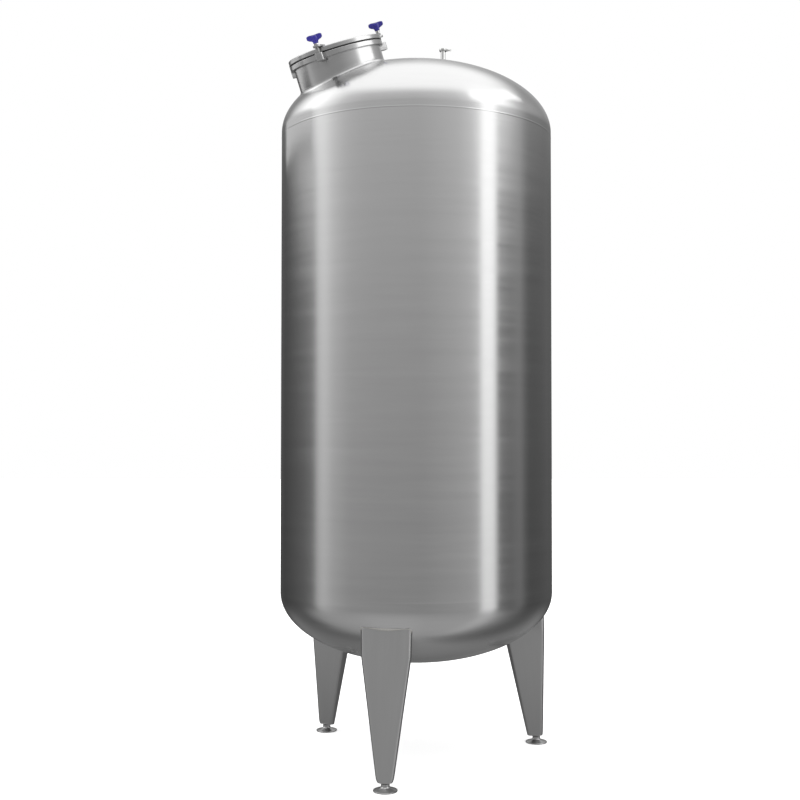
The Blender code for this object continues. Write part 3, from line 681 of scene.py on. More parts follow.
def moulded_rubber(tree, tint):
    """Cured black rubber: matt, with the mould's skin at 4 mm and a little dust in patches of 3 cm."""
    spot = add(tree, "TexCoord").outputs["Object"]
    skin = add(tree, "TexNoise", {"Vector": spot, "Scale": 260.0, "Detail": 4.0})
    dust = add(tree, "TexNoise", {"Vector": spot, "Scale": 30.0, "Detail": 2.0})
    amount = add(tree, "MapRange", {"Value": dust.outputs[0], "From Min": 0.4, "To Max": 0.12})
    dusty = {"Factor": amount.outputs[0], "A": (*tint, 1), "B": (0.2, 0.2, 0.2, 1)}
    mixed = add(tree, "Mix", dusty, data_type="RGBA")
    bump = add(tree, "Bump", {"Height": skin.outputs[0], "Strength": 0.3, "Distance": 0.0005})
    values = {"Base Color": mixed.outputs[2], "Roughness": 0.62, "Normal": bump.outputs[0]}
    return add(tree, "BsdfPrincipled", values)


def glossy_plastic(tree, tint):
    """Injection moulded plastic: an even colour under a smooth skin with a flow ripple of 2 cm."""
    spot = add(tree, "TexCoord").outputs["Object"]
    flow = add(tree, "TexNoise", {"Vector": spot, "Scale": 45.0, "Detail": 2.0})
    tone = add(tree, "MapRange", {"Value": flow.outputs[0], "To Min": 0.85, "To Max": 1.15})
    shade = add(tree, "VectorMath", {0: (*tint,), "Scale": tone.outputs[0]}, operation="SCALE")
    bump = add(tree, "Bump", {"Height": flow.outputs[0], "Strength": 0.15, "Distance": 0.001})
    values = {"Base Color": shade.outputs[0], "Roughness": 0.24, "IOR": 1.5, "Normal": bump.outputs[0]}
    return add(tree, "BsdfPrincipled", values)


def shell_steel():
    """Satin 304 sheet, brushed round with 180 grit: soft upright light bands with fine level lines.

    Real lines are 0.1 mm apart. They are drawn 6 mm apart, because a pixel of the picture covers 4.5 mm.
    """
    look = {"roughness": 0.215, "streak": 0.006, "run": 0.20, "depth": 0.0003, "stretch": 0.72}
    return new_finish("brushed_stainless_sheet", brushed, user_values("finishes").steel, **look)


def spun_steel():
    """Small round parts, rubbed while they turn, with finer lines than the shell."""
    look = {"roughness": 0.24, "streak": 0.0016, "run": 0.09, "depth": 0.0001, "stretch": 0.55}
    return new_finish("spun_stainless", brushed, user_values("finishes").steel, **look)


def leg_steel():
    """Bent 304 plate, brushed lengthwise with a coarser grit than the shell."""
    look = {"roughness": 0.36, "streak": 0.0035, "run": 0.16, "depth": 0.0002, "stretch": 0.5}
    return new_finish("brushed_stainless_plate", brushed, user_values("finishes").plate, **look)


def bright_steel():
    """Turned and cut small parts with a finer, brighter finish."""
    look = {"roughness": 0.2, "streak": 0.0009, "run": 0.03, "depth": 0.00006, "stretch": 0.35}
    return new_finish("turned_stainless", brushed, user_values("finishes").bright, **look)


def weld_steel():
    """Pickled weld metal of the unground welds."""
    return new_finish("pickled_weld", weld_metal, user_values("finishes").weld)


def rubber():
    """Black rubber of the gasket."""
    return new_finish("moulded_rubber", moulded_rubber, user_values("finishes").rubber)


def plastic():
    """Blue plastic of the wing knobs."""
    return new_finish("moulded_plastic", glossy_plastic, user_values("finishes").plastic)


# The vessel
def head_rise(x, y, radius, depth):
    """Height of a dished end over its tangent line: depth times the root of one minus (reach / radius)^2."""
    return depth * np.sqrt(np.clip(1 - (x * x + y * y) / radius**2, 0, 1))


def head_run(reach, radius, depth):
    """Distance from the crown along a dished end, added up over a quarter ellipse and read by reach."""
    angle = np.linspace(0, math.pi / 2, 400)
    speed = np.hypot(radius * np.cos(angle), depth * np.sin(angle))
    run = np.concatenate([[0], np.cumsum((speed[1:] + speed[:-1]) / 2 * np.diff(angle))])
    return np.interp(np.arcsin(np.clip(reach / radius, 0, 1)), angle, run)


def neck_ring(turns, neck, heights):
    """Points on the manway at each turn, a radius from its axis and at their heights."""
    return placed(circled(neck, turns, heights), MANWAY)


def neck_meets_head(turns, neck, radius, depth):
    """Height on the manway's axis where a neck of a radius meets the top head, at each turn.

    Divided by the head's radius and depth, the head is a unit ball, so the height is the larger root of
    |start + height * upward| = 1.
    """
    vessel = user_values("vessel")
    scale = np.array([radius, radius, depth])
    start = (neck_ring(turns, neck, 0.0) - (0, 0, TOP_SEAM + vessel.flange)) / scale
    upward = MANWAY.axes[2] / scale
    a = upward @ upward
    b = start @ upward
    c = (start * start).sum(axis=-1) - 1
    return (np.sqrt(b * b - a * c) - b) / a


def seam_grid(height, rise):
    """A weld ground almost flush: a flat swelling of a cosine's shape whose sides lie in the shell."""
    vessel = user_values("vessel")
    half = vessel.seam_width / 2
    side, root = vessel.radius - 0.0003, vessel.radius - 0.0008
    across = np.linspace(-1, 1, 13)
    swell = 0.5 + 0.5 * np.cos(math.pi * across)
    outer = np.stack([side + (vessel.radius + rise - side) * swell, height + half * across], axis=1)
    inner = [[root, height + half], [root, height - half]]
    return turned_grid(np.concatenate([outer, inner]), TANK, closed=True, steps=SHELL_STEPS)


def make_shell():
    """Shell: one upright wall of four rolled plates whose upright seams are ground flush."""
    vessel = user_values("vessel")
    inner = vessel.radius - vessel.wall
    heights = np.linspace(BOTTOM_SEAM, TOP_SEAM, 25)
    outside = np.stack([vessel.radius + 0 * heights, heights], axis=1)
    inside = np.stack([inner + 0 * heights, heights], axis=1)[::-1]
    wall = turned_grid(np.concatenate([outside, inside]), TANK, closed=True, steps=SHELL_STEPS)
    plates = [f"shell_plate_{number}" for number in (1, 2, 3, 4)]
    add_piece("shell_wall", [wall], shell_steel(), "shell_steel", plates)
    seams = [seam_grid(BOTTOM_SEAM, vessel.flush_rise), seam_grid(TOP_SEAM, vessel.seam_rise)]
    add_piece("shell_seams", seams, shell_steel(), "shell_steel")


def make_top_head():
    """Top head: rows from the collar round the neck out to the rim, on rays from the neck's middle.

    The collar is a quadratic curve from the neck's side to the head, and the dome is a half ellipsoid.
    """
    vessel = user_values("vessel")
    manway = user_values("manway")
    tangent = TOP_SEAM + vessel.flange
    turns = whole_turn(SHELL_STEPS)
    collar_rows, dome_rows = 10, 91

    def skin(inset, spread):
        """One face of the head with its grain, set in from the outside; the collar spreads out on it."""
        radius, depth, neck = vessel.radius - inset, vessel.depth - inset, manway.neck - inset
        foot = neck_meets_head(turns, neck, radius, depth)
        knee = neck_ring(turns, neck, foot)
        top = neck_ring(turns, neck, foot + manway.collar_rise)
        start = neck_ring(turns, neck + spread, neck_meets_head(turns, neck + spread, radius, depth))
        t = np.linspace(0, 1, collar_rows)[:, None, None]
        collar = (1 - t) ** 2 * top + 2 * t * (1 - t) * knee + t**2 * start
        middle = MANWAY.origin[:2]
        ray = unit(start[:, :2] - middle)
        along = ray @ middle
        reach = np.sqrt(along**2 - middle @ middle + radius**2) - along
        edge = middle + reach[:, None] * ray
        s = np.linspace(0, 1, dome_rows + 1)[1:, None, None]
        flat = start[:, :2] + (edge - start[:, :2]) * (1 - (1 - s) ** 2)
        height = tangent + head_rise(flat[..., 0], flat[..., 1], radius, depth)
        dome = np.concatenate([flat, height[..., None]], axis=-1)
        flange = dome[[-1, -1]] * (1, 1, 0) + [[[0, 0, TOP_SEAM + vessel.flange / 2]], [[0, 0, TOP_SEAM]]]
        points = np.concatenate([collar, dome, flange])
        run = head_run(np.hypot(points[..., 0], points[..., 1]), radius, depth)
        run += np.clip(tangent - points[..., 2], 0, None)
        return points, np.stack([points[..., 0], points[..., 1], run], axis=-1)

    outer, outer_grain = skin(0.0, manway.collar_spread)
    inner, inner_grain = skin(vessel.wall, manway.collar_spread / 2)
    points = np.concatenate([outer, inner[::-1]])
    grain = np.concatenate([outer_grain, inner_grain[::-1]])
    head = Grid(points, grain, True, True)
    add_piece("top_dished_head", [head], shell_steel(), "shell_steel", ["top_head"])


def make_bottom_head():
    """Bottom head: a quarter ellipse turned round the axis, with the outlet's hole in its middle."""
    vessel = user_values("vessel")
    outlet = user_values("outlet")
    tangent = BOTTOM_SEAM - vessel.flange

    def skin(radius, depth):
        """The profile of one face: r sin a outwards, and d cos a below the tangent line."""
        hole = math.asin((outlet.radius - outlet.wall) / radius)
        angle = np.linspace(hole, math.pi / 2, 64)
        curve = np.stack([radius * np.sin(angle), tangent - depth * np.cos(angle)], axis=1)
        return np.concatenate([curve, [[radius, BOTTOM_SEAM]]])

    inner = skin(vessel.radius - vessel.wall, vessel.depth - vessel.wall)
    profile = np.concatenate([skin(vessel.radius, vessel.depth), inner[::-1]])
    head = turned_grid(profile, TANK, closed=True, steps=SHELL_STEPS)
    add_piece("bottom_dished_head", [head], shell_steel(), "shell_steel", ["bottom_head"])


def make_outlet():
    """Outlet: a short ferrule at the lowest point, with its clamping rim and weld."""
    vessel = user_values("vessel")
    outlet = user_values("outlet")
    crown = BOTTOM_SEAM - vessel.flange - vessel.depth
    bore, top = outlet.radius - outlet.wall, crown + outlet.wall
    toe, weld_steps = 0.0008, 120
    corners = [
        (bore, OUTLET_FOOT),
        (outlet.rim, OUTLET_FOOT),
        (outlet.rim, OUTLET_FOOT + outlet.rim_thickness),
        (outlet.radius, OUTLET_FOOT + 2 * outlet.rim_thickness),
        (outlet.radius, top),
        (bore, top),
    ]
    pipe = turned_grid(softened(corners, 0.0007, 4, True), TANK, closed=True, steps=64)
    path = turned([(outlet.radius + toe, crown - toe)], weld_steps)[0]
    upward = unit(path * (1, 1, 0) / outlet.radius + (0, 0, -1))
    bead = bead_grid(path, upward, width=0.0024, rise=0.0016, ripple=0.003)
    add_piece("outlet_pipe", [pipe], bright_steel(), "turned_steel", ["outlet_ferrule"])
    add_piece("outlet_weld", [bead], weld_steel(), "turned_steel")


# The manway
def make_neck():
    """Neck, the ring round its mouth and the weld where it stands on the head's collar."""
    vessel = user_values("vessel")
    manway = user_values("manway")
    turns = whole_turn(SHELL_STEPS)
    neck_weld_steps, ring_weld_steps, toe = 1100, 900, 0.001
    bore = manway.neck - vessel.wall
    foot = neck_meets_head(turns, manway.neck, vessel.radius, vessel.depth) + manway.collar_rise
    low = neck_meets_head(turns, bore, vessel.radius - vessel.wall, vessel.depth - vessel.wall)
    low += manway.collar_rise
    t = np.linspace(0, 1, 14)[:, None]
    outside = [neck_ring(turns, manway.neck, row) for row in foot + (manway.rim_foot - foot) * t]
    inside = [neck_ring(turns, bore, row) for row in manway.rim_foot + (low - manway.rim_foot) * t]
    tube = round_grid(np.stack(outside + inside), True)
    add_piece("manway_neck_tube", [tube], spun_steel(), "neck_steel", ["manway_neck"])

    corners = rectangle(bore, manway.rim, manway.rim_foot, manway.rim_top)
    ring = turned_grid(softened(corners, 0.0018, 5, True), MANWAY, closed=True, steps=144)
    add_piece("manway_ring", [ring], spun_steel(), "neck_steel", ["manway_rim"])

    fine = whole_turn(neck_weld_steps)
    line = neck_meets_head(fine, manway.neck, vessel.radius, vessel.depth) + manway.collar_rise
    path = neck_ring(fine, manway.neck, line)
    outward = unit(neck_ring(fine, 1.0, 0.0) - neck_ring(fine, 0.0, 0.0))
    bead = bead_grid(path, outward, width=vessel.bead, rise=0.0003)
    add_piece("manway_neck_weld", [bead], spun_steel(), "neck_steel")
    under = turned([(manway.neck + toe, manway.rim_foot - toe)], ring_weld_steps)[0]
    slant = unit(under * (1, 1, 0) / manway.neck + (0, 0, -1))
    seam = bead_grid(placed(under, MANWAY), slant @ MANWAY.axes, width=0.0022, rise=0.0011)
    add_piece("manway_ring_weld", [seam], spun_steel(), "neck_steel")


def crown_rise(reach, manway):
    """The lid's crown: a soft step of a cosine's shape from its flat edge, then a shallow bowl."""
    bowl, step_share = 0.118, 0.72
    step = 0.5 + 0.5 * np.cos(math.pi * np.clip((reach - bowl) / (manway.crown - bowl), 0, 1))
    dish = 1 - np.clip(reach / bowl, 0, 1) ** 2
    return manway.crown_rise * (step_share * step + (1 - step_share) * dish)


def make_lid():
    """Pressed lid with a turned-down skirt and its gasket, both closed all round."""
    vessel = user_values("vessel")
    manway = user_values("manway")
    margin, step = 0.004, 0.001
    reach = np.linspace(0, manway.crown, 44)
    crown = np.stack([reach, manway.lid_top + crown_rise(reach, manway)], axis=1)
    inner = manway.lid - vessel.wall
    flat = manway.crown + margin
    edge = [
        (flat, manway.lid_top),
        (manway.lid, manway.lid_top),
        (manway.lid, manway.skirt_foot),
        (inner, manway.skirt_foot),
        (inner, manway.lid_top - vessel.wall),
        (flat, manway.lid_top - vessel.wall),
    ]
    skirt = softened(edge, [0, 0.005, 0.0014, 0.0014, 0.003, 0], 7)
    profile = np.concatenate([crown, skirt, crown[::-1] - (0, vessel.wall)])
    lid = turned_grid(profile, MANWAY, steps=160)
    add_piece("manway_lid_pressing", [lid], spun_steel(), "lid_steel", ["manway_lid"], "lid")

    low = manway.rim_top + CONTACT_GAP
    top = manway.lid_top - vessel.wall - CONTACT_GAP
    back = manway.gasket - manway.gasket_width
    inside = inner - LOOSE_GAP
    lip = [
        (back, low),
        (manway.gasket - 1.2 * step, low),
        (manway.gasket, low + 2 * step),
        (manway.gasket, manway.skirt_foot - step),
        (inside, manway.skirt_foot + step),
        (inside, top),
        (back, top),
    ]
    seal = turned_grid(softened(lip, 0.0009, 4, True), MANWAY, closed=True, steps=144)
    add_piece("manway_seal", [seal], rubber(), "gasket_rubber", ["manway_gasket"], "lid")


def ear_outline(closure):
    """A flat bar with a round outer end, centred on its screw hole, with its inner corners cut."""
    half = closure.ear_width / 2
    root = half - closure.ear_length
    cut = 0.003
    inner = [(root, half - cut), (root, cut - half), (root + cut, -half)]
    return dense(np.concatenate([arc((0, 0), half, 90, -90, 22)[::-1], [(root + cut, half)], inner]))


def make_closures():
    """Bars on the lid that carry the wing screws, and the blocks on the ring that take their tips."""
    closure = user_values("closure")
    manway = user_values("manway")
    half, margin = closure.ear_width / 2, 0.006
    for number, point in enumerate(SCREW_POINTS, 1):
        place = manway_place(point)
        low = manway.lid_top + CONTACT_GAP
        high = low + closure.ear_thickness
        hole = closure.screw + LOOSE_GAP
        bar = slab_grid(ear_outline(closure), low, high, place, edge=0.0011, hole=hole)
        add_piece(f"lid_bar_{number}", [bar], leg_steel(), "lid_steel", [f"lid_ear_{number}"], "lid")
        reach = float(np.linalg.norm(place.origin - MANWAY.origin))
        along = np.linspace(half - closure.ear_length + margin, manway.lid - margin - reach, 60)
        beads = []
        for side in (-1, 1):
            path = np.stack([along, side * half + 0 * along, low + 0 * along], axis=1)
            line = placed(path, place)
            slant = np.broadcast_to(unit(np.array([0.0, side, 1.0])), path.shape) @ place.axes
            beads.append(bead_grid(line, slant, width=0.0022, rise=0.0019, ripple=0.0035, closed=False))
        add_piece(f"lid_bar_{number}_welds", beads, weld_steel(), "lid_steel", (), "lid")

        back = manway.rim + CONTACT_GAP - reach
        corners = rectangle(back, back + closure.lug_reach, -half, half)
        outline = dense(softened(corners, [0.0008, 0.010, 0.010, 0.0008], 7, True))
        low, high = closure.lug_foot, manway.rim_top
        block = slab_grid(outline, low, high, place, edge=0.0012, hole=closure.lug_hole)
        add_piece(f"screw_block_{number}", [block], leg_steel(), "neck_steel", [f"neck_lug_{number}"])


def blob(start, end, start_radius, end_radius, thin, steps=28):
    """A tapered capsule: a half ball at each end, its radius changing between them, thinned along Y."""
    start, end, rows = np.array(start), np.array(end), 10
    slope = np.concatenate([np.linspace(0, math.pi / 2, rows), np.linspace(math.pi / 2, math.pi, rows)])
    far = np.repeat([0.0, 1.0], rows)
    radius = start_radius + (end_radius - start_radius) * far
    along = unit(end - start)
    side = np.array([along[2], 0.0, -along[0]])
    angle = whole_turn(steps)
    center = start + (end - start) * far[:, None] - along * (radius * np.cos(slope))[:, None]
    ring = np.cos(angle)[:, None] * side + np.sin(angle)[:, None] * (0.0, thin, 0.0)
    return center[:, None] + (radius * np.sin(slope))[:, None, None] * ring


def blended(obj, voxel):
    """The object with its overlapping shells melted into one smooth skin."""
    melt = obj.modifiers.new("melt", "REMESH")
    melt.mode = "VOXEL"
    melt.voxel_size = voxel
    melt.use_smooth_shade = True
    smooth = obj.modifiers.new("smooth", "SMOOTH")
    smooth.factor = 0.5
    smooth.iterations = 5
    view = bpy.context.evaluated_depsgraph_get()
    mesh = bpy.data.meshes.new_from_object(obj.evaluated_get(view))
    obj.modifiers.clear()
    obj.data = mesh
    mesh.shade_smooth()
    return obj


def make_screws():
    """Wing screws: thread, collar and sleeve of steel, and a moulded knob with a hub and two wings."""
    closure = user_values("closure")
    manway = user_values("manway")
    clearance, thread_end, washer, overlap = 0.0005, 0.004, 0.0016, 0.002
    nut_half, nut_height, under_knob = 0.0092, 0.0085, 0.001
    chamfer, taper, straight = 0.0012, 0.0025, 0.012
    seat = manway.lid_top + closure.ear_thickness + clearance
    top, reach = closure.knob_height, closure.knob_span / 2
    for number, point in enumerate(SCREW_POINTS, 1):
        place = manway_place(point)
        foot = float(extent(f"wing_knob_{number}", place)[0][2])
        body = f"screw_{number}"
        thread = threaded(closure.screw, closure.tip, seat + thread_end, closure.pitch, place)
        corners = rectangle(0.0, closure.collar, seat, seat + washer)
        collar = turned_grid(softened(corners, 0.0006, 4), place, steps=48)
        nut_top = min(seat + nut_height, foot - under_knob)
        nut = slab_grid(hexagon(nut_half), seat + washer + CONTACT_GAP, nut_top, place, edge=0.0009)

        # The sleeve widens from inside the nut to its shoulder and is straight from there to the knob
        sleeve_foot, sleeve_top = nut_top - overlap, foot - FIT_GAP
        shoulder = min(max(nut_top + taper, foot - straight), sleeve_top)
        corners = [
            (0.0, sleeve_foot),
            (closure.sleeve - chamfer, sleeve_foot),
            (closure.sleeve, shoulder),
            (closure.sleeve, sleeve_top),
            (0.0, sleeve_top),
        ]
        sleeve = turned_grid(softened(corners, 0.0008, 4), place, steps=48)
        grids = [thread, collar, nut, sleeve]
        nodes = [f"wing_screw_{number}"]
        add_piece(f"screw_spindle_{number}", grids, bright_steel(), "turned_steel", nodes, body)

        # The hub's profile by radius and height, and the right half of the wings' outline
        raised = around(place, KNOB_TURNS[number - 1], 0.0, foot)
        hub = [(0, 0), (0.0113, 0), (0.0113, 0.004), (0.014, 0.021), (0.013, top - 0.005), (0, top - 0.004)]
        hub = turned_grid(softened(hub, 0.0024, 6), raised, steps=48)
        right = [
            (0.010, 0.0),
            (0.0125, 0.0105),
            (reach - 0.008, 0.0145),
            (reach, 0.020),
            (reach, top - 0.003),
            (reach - 0.010, top),
        ]
        left = [(-x, height) for x, height in reversed(right)]
        outline = softened([*right, (0.0, top - 0.0014), *left], 0.0045, 7, True)
        wings = slab_grid(outline, -closure.wing, closure.wing, on_side(raised), edge=0.005)
        name = f"wing_grip_{number}"
        obj = new_object(name, grids_mesh(name, [hub, wings]))
        hang(blended(obj, closure.voxel), plastic(), "knob_plastic", [f"wing_knob_{number}"], body)


def make_hinge():
    """Hinge: a shelf with two cheeks on the ring, the lid's strap with its knuckle, and the pin."""
    hinge = user_values("hinge")
    manway = user_values("manway")
    closure = user_values("closure")
    place = manway_place(HINGE_POINT)
    axis = Place(HINGE_POINT, place.axes)
    height = float((HINGE_POINT - place.origin) @ UPWARD)
    line = on_side(axis)
    half = hinge.width / 2
    depth = hinge.cheek_depth
    bore = hinge.pin + FIT_GAP
    reach = float(np.linalg.norm(place.origin - MANWAY.origin))
    back = manway.rim + CONTACT_GAP - reach
    shelf_top = manway.rim_foot + hinge.shelf
    outline = dense(softened(rectangle(back, depth, -half, half), [0.0008, 0.002, 0.002, 0.0008], 4, True))
    grids = [slab_grid(outline, closure.lug_foot, shelf_top, place, edge=0.001)]
    overlap = 0.001
    foot = shelf_top - overlap - height
    cheek = dense(np.concatenate([[(-depth, foot), (depth, foot)], arc((0, 0), depth, 0, 180, 24)]), 0.003)
    for side in (-1, 1):
        low, high = sorted((side * half, side * (half - hinge.cheek)))
        grids.append(slab_grid(cheek, low, high, line, edge=0.0009, hole=bore))
    add_piece("hinge_fork", grids, leg_steel(), "neck_steel", ["hinge_bracket"])

    pin_half = half + hinge.stand_out
    pin = turned_grid(softened(rectangle(0, hinge.pin, -pin_half, pin_half), 0.0012, 5), line, steps=40)
    add_piece("hinge_spindle", [pin], bright_steel(), "turned_steel", ["hinge_pin"])

    low = manway.lid_top + CONTACT_GAP - height
    high = low + closure.ear_thickness
    strap_half = half - hinge.cheek - hinge.play
    tail = closure.ear_length - closure.ear_width / 2
    start = math.degrees(math.acos(low / high))
    knuckle = arc((0, 0), high, 90 + start, 450, 40)
    outline = dense(np.concatenate([[(-tail, high), (-tail, low)], knuckle]), 0.003)
    strap = slab_grid(outline, -strap_half, strap_half, line, edge=0.0009, hole=bore)
    add_piece("hinge_leaf", [strap], leg_steel(), "lid_steel", ["hinge_strap"], "lid")


# The vent
def ring_on_head(radius, steps, rise):
    """A ring round the vent's axis that follows the top head at a small height over it."""
    vessel = user_values("vessel")
    ring = placed(circled(radius, whole_turn(steps), 0), VENT)
    dome = head_rise(ring[:, 0], ring[:, 1], vessel.radius, vessel.depth)
    ring[:, 2] = TOP_SEAM + vessel.flange + dome + rise
    return ring


def make_vent():
    """Vent: a small pipe with a clamped cap, the clamp's ear and its wing nut."""
    vent = user_values("vent")
    steps, weld_steps, sunk, toe = 64, 140, 0.001, 0.0006
    bore = vent.radius - vent.wall
    lip = vent.radius + vent.lip
    face = -vent.split - FIT_GAP / 2
    foot = -0.08
    corners = [
        (vent.radius, foot),
        (vent.radius, face - 2 * vent.lip),
        (lip, face - vent.lip),
        (lip, face),
        (bore, face),
        (bore, foot),
    ]
    points = placed(turned(softened(corners, 0.0006, 4), steps), VENT)
    points[0] = ring_on_head(vent.radius, steps, -sunk)
    points[-1] = ring_on_head(bore, steps, -sunk)
    add_piece("vent_tube", [round_grid(points, True)], bright_steel(), "turned_steel", ["vent_pipe"])
    path = ring_on_head(vent.radius + toe, weld_steps, toe)
    upward = unit(circled(1, whole_turn(weld_steps), 1))
    bead = bead_grid(path, upward, width=0.0022, rise=0.0016, ripple=0.003)
    add_piece("vent_weld", [bead], weld_steel(), "turned_steel")

    under = face + FIT_GAP
    corners = [(0, under), (lip, under), (lip, under + vent.lip), (bore, -0.0015), (0, 0)]
    cap = turned_grid(softened(corners, 0.0007, 4), VENT, steps=64)
    add_piece("vent_lid", [cap], bright_steel(), "turned_steel", ["vent_cap"])

    half, slope = vent.clamp_height / 2, 0.001
    inner = lip + FIT_GAP
    corners = [
        (inner, face - half),
        (vent.clamp - slope, face - half),
        (vent.clamp, face),
        (vent.clamp - slope, face + half),
        (inner, face + half),
    ]
    band = turned_grid(softened(corners, 0.0012, 5, True), VENT, closed=True, steps=64)
    root = (inner + vent.clamp) / 2
    grids = [band]
    slot, ear_half = 0.0006, 0.004
    for side in (-1, 1):
        low, high = sorted((side * slot, side * ear_half))
        outline = dense(softened(rectangle(root, vent.ear, low, high), 0.0008, 4, True), 0.002)
        grids.append(slab_grid(outline, face - ear_half, face + ear_half, VENT, edge=0.0006))
    add_piece("vent_band", grids, bright_steel(), "turned_steel", ["vent_clamp"])

    # The wing nut's axis points outwards from the clamp's ear
    nut = around(VENT, 0.0, vent.ear + FIT_GAP, face)
    outward = Place(nut.origin, nut.axes[[1, 2, 0]])
    corners = [(0, 0), (0.0042, 0), (0.0036, 0.0065), (0, 0.0065)]
    grids = [turned_grid(softened(corners, 0.0006, 4), outward, steps=32)]
    for side in (-1, 1):
        wing = blob((side * 0.003, 0, 0.003), (side * 0.0078, 0, 0.0105), 0.0016, 0.0022, 0.75, 16)
        grids.append(round_grid(placed(wing, outward)))
    add_piece("vent_nut", grids, bright_steel(), "turned_steel", ["vent_wing_nut"])


# Legs and feet
def leg_section(leg, height, inset):
    """Half of the folded section at each height, as (outward, sideways, height).

    The face looks outwards, the side leans in from the face's bend to the back's bend, and the narrow back
    closes the section. An inset keeps the middles of the bends and shortens their radii. Heights are a
    column, or one for each point.
    """
    face_turn, back_turn, toward_back, spread = LEG_COLUMNS
    above = height - leg.foot
    lean = (leg.lean_height - height) / (leg.lean_height - leg.foot)
    face = leg.face_top + (leg.face_foot - leg.face_top) * lean
    below = np.clip(leg.rounding - above, 0, leg.rounding)
    drawn = leg.draw * (leg.rounding - np.sqrt(leg.rounding**2 - below**2))
    taper = np.minimum(above / (leg.taper_top - leg.foot), 1)
    half = (leg.width_foot + (leg.width_top - leg.width_foot) * taper) / 2 - drawn
    depth = leg.depth_foot + leg.depth_slope * above
    back_half = (leg.back_foot + leg.back_slope * above) / 2
    slant = np.arctan((half - back_half) / depth)
    far = half - leg.bend * (1 + np.sin(slant)) / np.cos(slant)
    near = back_half - leg.back_bend * (1 - np.sin(slant)) / np.cos(slant)
    quarter = math.pi / 2 + slant
    front = face_turn * quarter
    rear = quarter + back_turn * (math.pi - quarter)
    front_out = face - leg.bend + (leg.bend - inset) * np.cos(front)
    front_side = far + (leg.bend - inset) * np.sin(front)
    back_out = face - depth + leg.back_bend + (leg.back_bend - inset) * np.cos(rear)
    back_side = near + (leg.back_bend - inset) * np.sin(rear)
    outward = front_out + (back_out - front_out) * toward_back
    sideways = (front_side + (back_side - front_side) * toward_back) * spread
    return np.stack([outward, sideways, height + 0 * outward], axis=-1)


def leg_skin(leg, levels, inset):
    """Rows of the section from the foot up, each point stopped where it meets the bottom head.

    Its height there comes from reading the head's height at the point again and again.
    """
    passes = 25
    vessel = user_values("vessel")
    tangent = BOTTOM_SEAM - vessel.flange
    top = np.full((1, LEG_COLUMNS.shape[1]), leg.taper_top)
    for _ in range(passes):
        point = leg_section(leg, top, inset)
        met = tangent - head_rise(point[..., 0], point[..., 1], vessel.radius, vessel.depth)
        top = np.minimum(met, leg.face_height)
    half = leg_section(leg, np.minimum(levels, top), inset)
    run = run_length(half, 1).mean(axis=0)
    across = np.broadcast_to(np.concatenate([run, -run[::-1]]), (len(half), 2 * len(run)))
    ring = np.concatenate([half, half[:, ::-1] * (1, -1, 1)], axis=1)
    return ring, np.stack([ring[..., 2], 0 * across, across], axis=-1)


def head_point(points):
    """The points moved level towards the tank's axis, or away from it, until they touch the bottom head."""
    vessel = user_values("vessel")
    fall = (BOTTOM_SEAM - vessel.flange - points[:, 2]) / vessel.depth
    reach = vessel.radius * np.sqrt(np.clip(1 - fall**2, 0, 1))
    flat = unit(points[:, :2]) * reach[:, None]
    return np.concatenate([flat, points[:, 2:]], axis=1)


def make_legs():
    """Legs: plate folded into a closed tapered section, cut along the bottom head and welded to it.

    The weld runs midway between the section's upper rim and the head beside it. Over the face its inner
    line is level, which fades in over a short stretch before the face.
    """
    leg = user_values("leg")
    vessel = user_values("vessel")
    above_cut, step, fade, fade_start, inward = 0.70, 0.0013, 0.02, 1.5, 0.6
    rounded = leg.foot + leg.rounding * (1 - np.cos(np.linspace(0, math.pi / 2, 9)))
    tapered = np.linspace(leg.foot + leg.rounding, leg.taper_top, 24)[1:]
    upper = np.linspace(leg.taper_top, above_cut, 24)[1:]
    levels = np.concatenate([rounded, tapered, upper])[:, None]
    outer, outer_grain = leg_skin(leg, levels, 0.0)
    inner, inner_grain = leg_skin(leg, levels, leg.plate)
    skin = np.concatenate([outer, inner[::-1]])
    grain = np.concatenate([outer_grain, inner_grain[::-1]])
    rim = even_path(outer[-1], step)
    slant = unit(unit(rim * (1, 1, 0) - (rim[:, 0].mean(), 0, 0)) - (0, 0, inward))
    over_face = np.clip((rim[:, 0] - rim[:, 0].max()) / fade + fade_start, 0, 1)
    level_edge = rim[:, 2] + over_face * np.maximum(leg.face_height - rim[:, 2], 0)
    on_head = head_point(np.column_stack([rim[:, :2], level_edge]))
    gap = np.linalg.norm(on_head - rim, axis=1)[:, None]
    seam = (rim + on_head) / 2
    for number in range(1, LEG_COUNT + 1):
        place = foot_place(number)
        center = Place(TANK.origin, place.axes)
        folded = Grid(placed(skin, center), grain, True, True)
        add_piece(f"leg_folded_{number}", [folded], leg_steel(), "leg_steel", [f"leg_{number}"])
        line, upward = placed(seam, center), slant @ center.axes
        bead = bead_grid(line, upward, width=vessel.bead + gap / 2, rise=0.0013)
        add_piece(f"leg_weld_{number}", [bead], weld_steel(), "leg_steel")
        make_base_plate(number, place)


def make_base_plate(number, place):
    """The plate that closes the foot: the inside of the folded section round the stud's hole."""
    leg = user_values("leg")
    foot = user_values("foot")
    half = leg_section(leg, leg.base_height, leg.plate + 2 * FIT_GAP)[::-1, :2]
    reach = float(np.linalg.norm(place.origin))
    outline = dense(np.concatenate([half * (1, -1), half[-2::-1]]) - (reach, 0))
    low, high = leg.base_height, leg.base_height + leg.base_thickness
    plate = slab_grid(outline, low, high, place, edge=0.0006, hole=foot.stud + LOOSE_GAP)
    nodes = [f"leg_base_plate_{number}"]
    add_piece(f"foot_plate_{number}", [plate], leg_steel(), "leg_steel", nodes)


